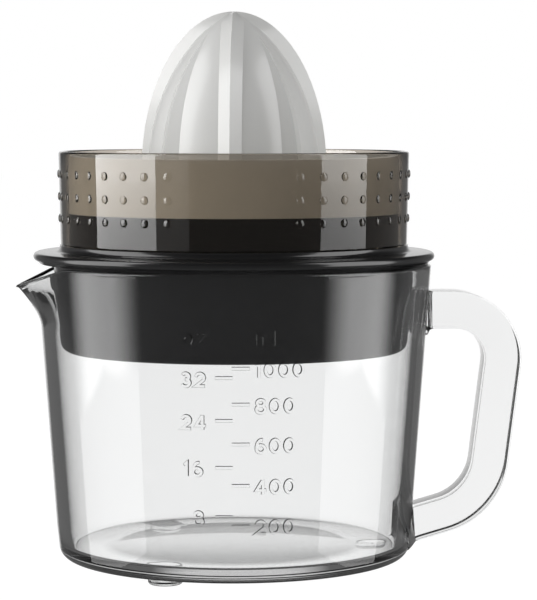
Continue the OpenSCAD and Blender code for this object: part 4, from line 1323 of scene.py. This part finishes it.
def void(name, radius, height, mid_z, low_z, steps=24):
    """The egg-shaped hollow of a cone."""
    egg = [(radius * math.cos(a), mid_z + height * math.sin(a))
           for a in [math.pi / 2 * i / steps for i in range(steps)]]
    return lathe(name, [(0, low_z), (radius, low_z)] + egg + [(0, mid_z + height)], 96, False)


def tube(name, outer, inner, z0, z1):
    return lathe(name, [(outer, z0), (outer, z1), (inner, z1), (inner, z0)], 96)


def drum(name, radius, z0, z1):
    return lathe(name, [(0, z0), (radius, z0), (radius, z1), (0, z1)], 96, False)


def lug(angle, gap):
    """The lug through which the small cone turns the large one, or with a gap the notch for it."""
    plan = turned_slab(LUG_R - 1 - gap, LUG_R + 1 + gap, LUG_HALF + gap, angle)
    return prism("lug", plan, cone_low.z + LUG_LOW, cone_low.z + LUG_TOP)


SMALL_R = 26.0
BASE_R = SMALL_R + 5
SMALL_DOME = 41.0
HOLLOW_DROP = 6.0
LARGE_SHELL = 5.2
SMALL_SHELL = 5.0
CONE_SKIRT = 12.7
SMALL_SKIRT = 10.0
BASE_T = 2.0
LUG_R = 29.2
LUG_HALF = 2.5
LUG_LOW, LUG_TOP = 1.5, 5.1
NEST_GAP = 0.4
RING_H = 2
HUB_R = 9.0
ARM_HALF, ARM_H = 0.8, 6
SHAFT_DROP = 22
BORE_R = 5.15
FLAT_HALF = 3.65
foot_z = cone_low.z
cone_mid_z = foot_z + CONE_SKIRT
small_mid_z = foot_z + SMALL_SKIRT
shaft_top_z = small_mid_z + SMALL_DOME - SHAFT_DROP
ring_z = foot_z + BASE_T + SEAT


def make_large_cone():
    dome_h = cone_high.z - cone_mid_z
    shell_r = CONE_R - LARGE_SHELL
    cone = cone_body("large_cone_white", CONE_R, dome_h, foot_z, cone_mid_z)
    hollow = void("hollow", shell_r, dome_h - HOLLOW_DROP, cone_mid_z, foot_z - 1)
    combine(cone, hollow, "DIFFERENCE", RIB_CREASE)
    combine(cone, tube("seat_ring", shell_r + 0.8, SMALL_R + 2, ring_z, ring_z + RING_H), crease=RIB_CREASE)
    combine(cone, drum("recess", BASE_R + NEST_GAP, foot_z - 1, ring_z), "DIFFERENCE", RIB_CREASE)
    for angle in (0, 180):
        combine(cone, lug(angle, NEST_GAP), "DIFFERENCE", RIB_CREASE)
    return cone


def make_small_cone():
    hollow_r = SMALL_R - SMALL_SHELL
    cone = cone_body("small_cone_white", SMALL_R, SMALL_DOME, foot_z + BASE_T - 0.5, small_mid_z)
    combine(cone, drum("base", BASE_R, foot_z, foot_z + BASE_T), crease=RIB_CREASE)
    for angle in (0, 180):
        combine(cone, lug(angle, 0.0), crease=RIB_CREASE)
    hollow_h = SMALL_DOME - HOLLOW_DROP
    combine(cone, void("hollow", hollow_r, hollow_h, small_mid_z, foot_z - 1), "DIFFERENCE", RIB_CREASE)
    hub = drum("hub", HUB_R, boss_z + 5, shaft_top_z + 4)
    combine(hub, void("inside", hollow_r + 0.5, hollow_h + 0.5, small_mid_z, foot_z - 1), "INTERSECT")
    combine(cone, hub, crease=RIB_CREASE)
    for angle in (45, 135, 225, 315):
        plan = turned_slab(HUB_R - 1, hollow_r + 0.8, ARM_HALF, angle)
        combine(cone, prism("arm", plan, small_mid_z, small_mid_z + ARM_H), crease=RIB_CREASE)
    bore = drum("bore", BORE_R, foot_z - 1, shaft_top_z + SEAT)
    combine(bore, prism("flats", slab(FLAT_HALF, -15, 15), foot_z - 2, shaft_top_z + 1), "INTERSECT")
    return combine(cone, bore, "DIFFERENCE", RIB_CREASE)


large = make_large_cone()
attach(large, "large_cone")
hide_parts("large_cone")
dress(large, WHITE)
small = make_small_cone()
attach(small, "small_cone")
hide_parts("small_cone")
dress(small, WHITE_SATIN)
print("cones:", len(large.data.polygons), len(small.data.polygons), "faces")

# %% [markdown]
# The coil spring under the shaft closes up when the cone is pressed. Here it rides on the shaft as one
# rigid piece, so all of it goes down with it. A round wire swept along a helix gives it.

# %% Return spring
WIRE_R = 0.35
WIRE_SIDES = 12
SPRING_TURNS = 3
spring_low, spring_high = box_mm("return_spring")


def make_spring():
    """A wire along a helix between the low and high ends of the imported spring."""
    mean_r = (spring_high.x - spring_low.x) / 2 - WIRE_R
    start, end = spring_low.z + WIRE_R, spring_high.z - WIRE_R
    steps = 28 * SPRING_TURNS
    points = []
    for step in range(steps + 1):
        angle = 360 * SPRING_TURNS * step / steps
        z = start + (end - start) * step / steps
        for side in range(WIRE_SIDES):
            a = math.tau * side / WIRE_SIDES
            points.append(turn(mean_r + WIRE_R * math.cos(a), z + WIRE_R * math.sin(a), angle))
    faces = [tuple(quad) for quad in skin_faces(steps + 1, WIRE_SIDES, False, True)]
    faces.append(tuple(range(WIRE_SIDES)))
    faces.append(tuple(steps * WIRE_SIDES + side for side in range(WIRE_SIDES)))
    return make_piece("shaft_spring", points, faces)


spring = make_spring()
dress(spring, SCREW_STEEL)
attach(spring, "drive_shaft")
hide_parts("return_spring")
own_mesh(spring)

# %% [markdown]
# Everything else keeps its packed form and is given its own finish. One table pairs each node with its
# material, so that a repaint means one line.

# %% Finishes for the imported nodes
DRESS = {
    "bottom_cover": SATIN_BLACK, "cover_screws": SCREW_STEEL, "gear_plate": PLATE_STEEL,
    "plate_screws": SCREW_STEEL, "idler_pin": PIN_STEEL, "stator_core": LAMINATION,
    "coil_bobbins": BOBBIN, "coil_windings": COPPER, "shaft_bush": BRONZE, "shaft_seal": SEAL,
    "start_switch": SWITCH_DARK, "terminal_block": TERMINAL, "cord_gland": RUBBER,
    "output_gear": IVORY, "drive_shaft": WHITE_SATIN, "idler_gear": IVORY,
    "rotor_magnet": FERRITE, "rotor_spindle": PIN_STEEL, "switch_button": BUTTON_RED,
    "strainer": WHITE_SATIN, "pulp_shutter": WHITE_SATIN,
}
for name, material in DRESS.items():
    dress(nodes[name], material)
print("dressed nodes:", len(DRESS))

# %% [markdown]
# Light linking works from collections: a panel is mirrored only by the pieces in its own. Each mesh goes
# into one of the three, once all of them are made. The white cone shares its plain panels with the black
# shell, whose flange would otherwise catch the strong glow meant for the clear wall.

# %% Which piece mirrors which panels
for piece in list(bpy.context.scene.objects):
    if piece.type != "MESH":
        continue
    group = "collar" if piece is collar else "cone" if piece in (large, housing) else "clear"
    mirrored_by[group].objects.link(piece)

# %% [markdown]
# A ray that looks through the pitcher crosses many walls, so it is allowed more bounces than usual: too
# few would leave black patches.

# %% Light paths
cycles = bpy.context.scene.cycles
cycles.max_bounces = 24
cycles.transmission_bounces = 24
cycles.transparent_max_bounces = 24
cycles.glossy_bounces = 8
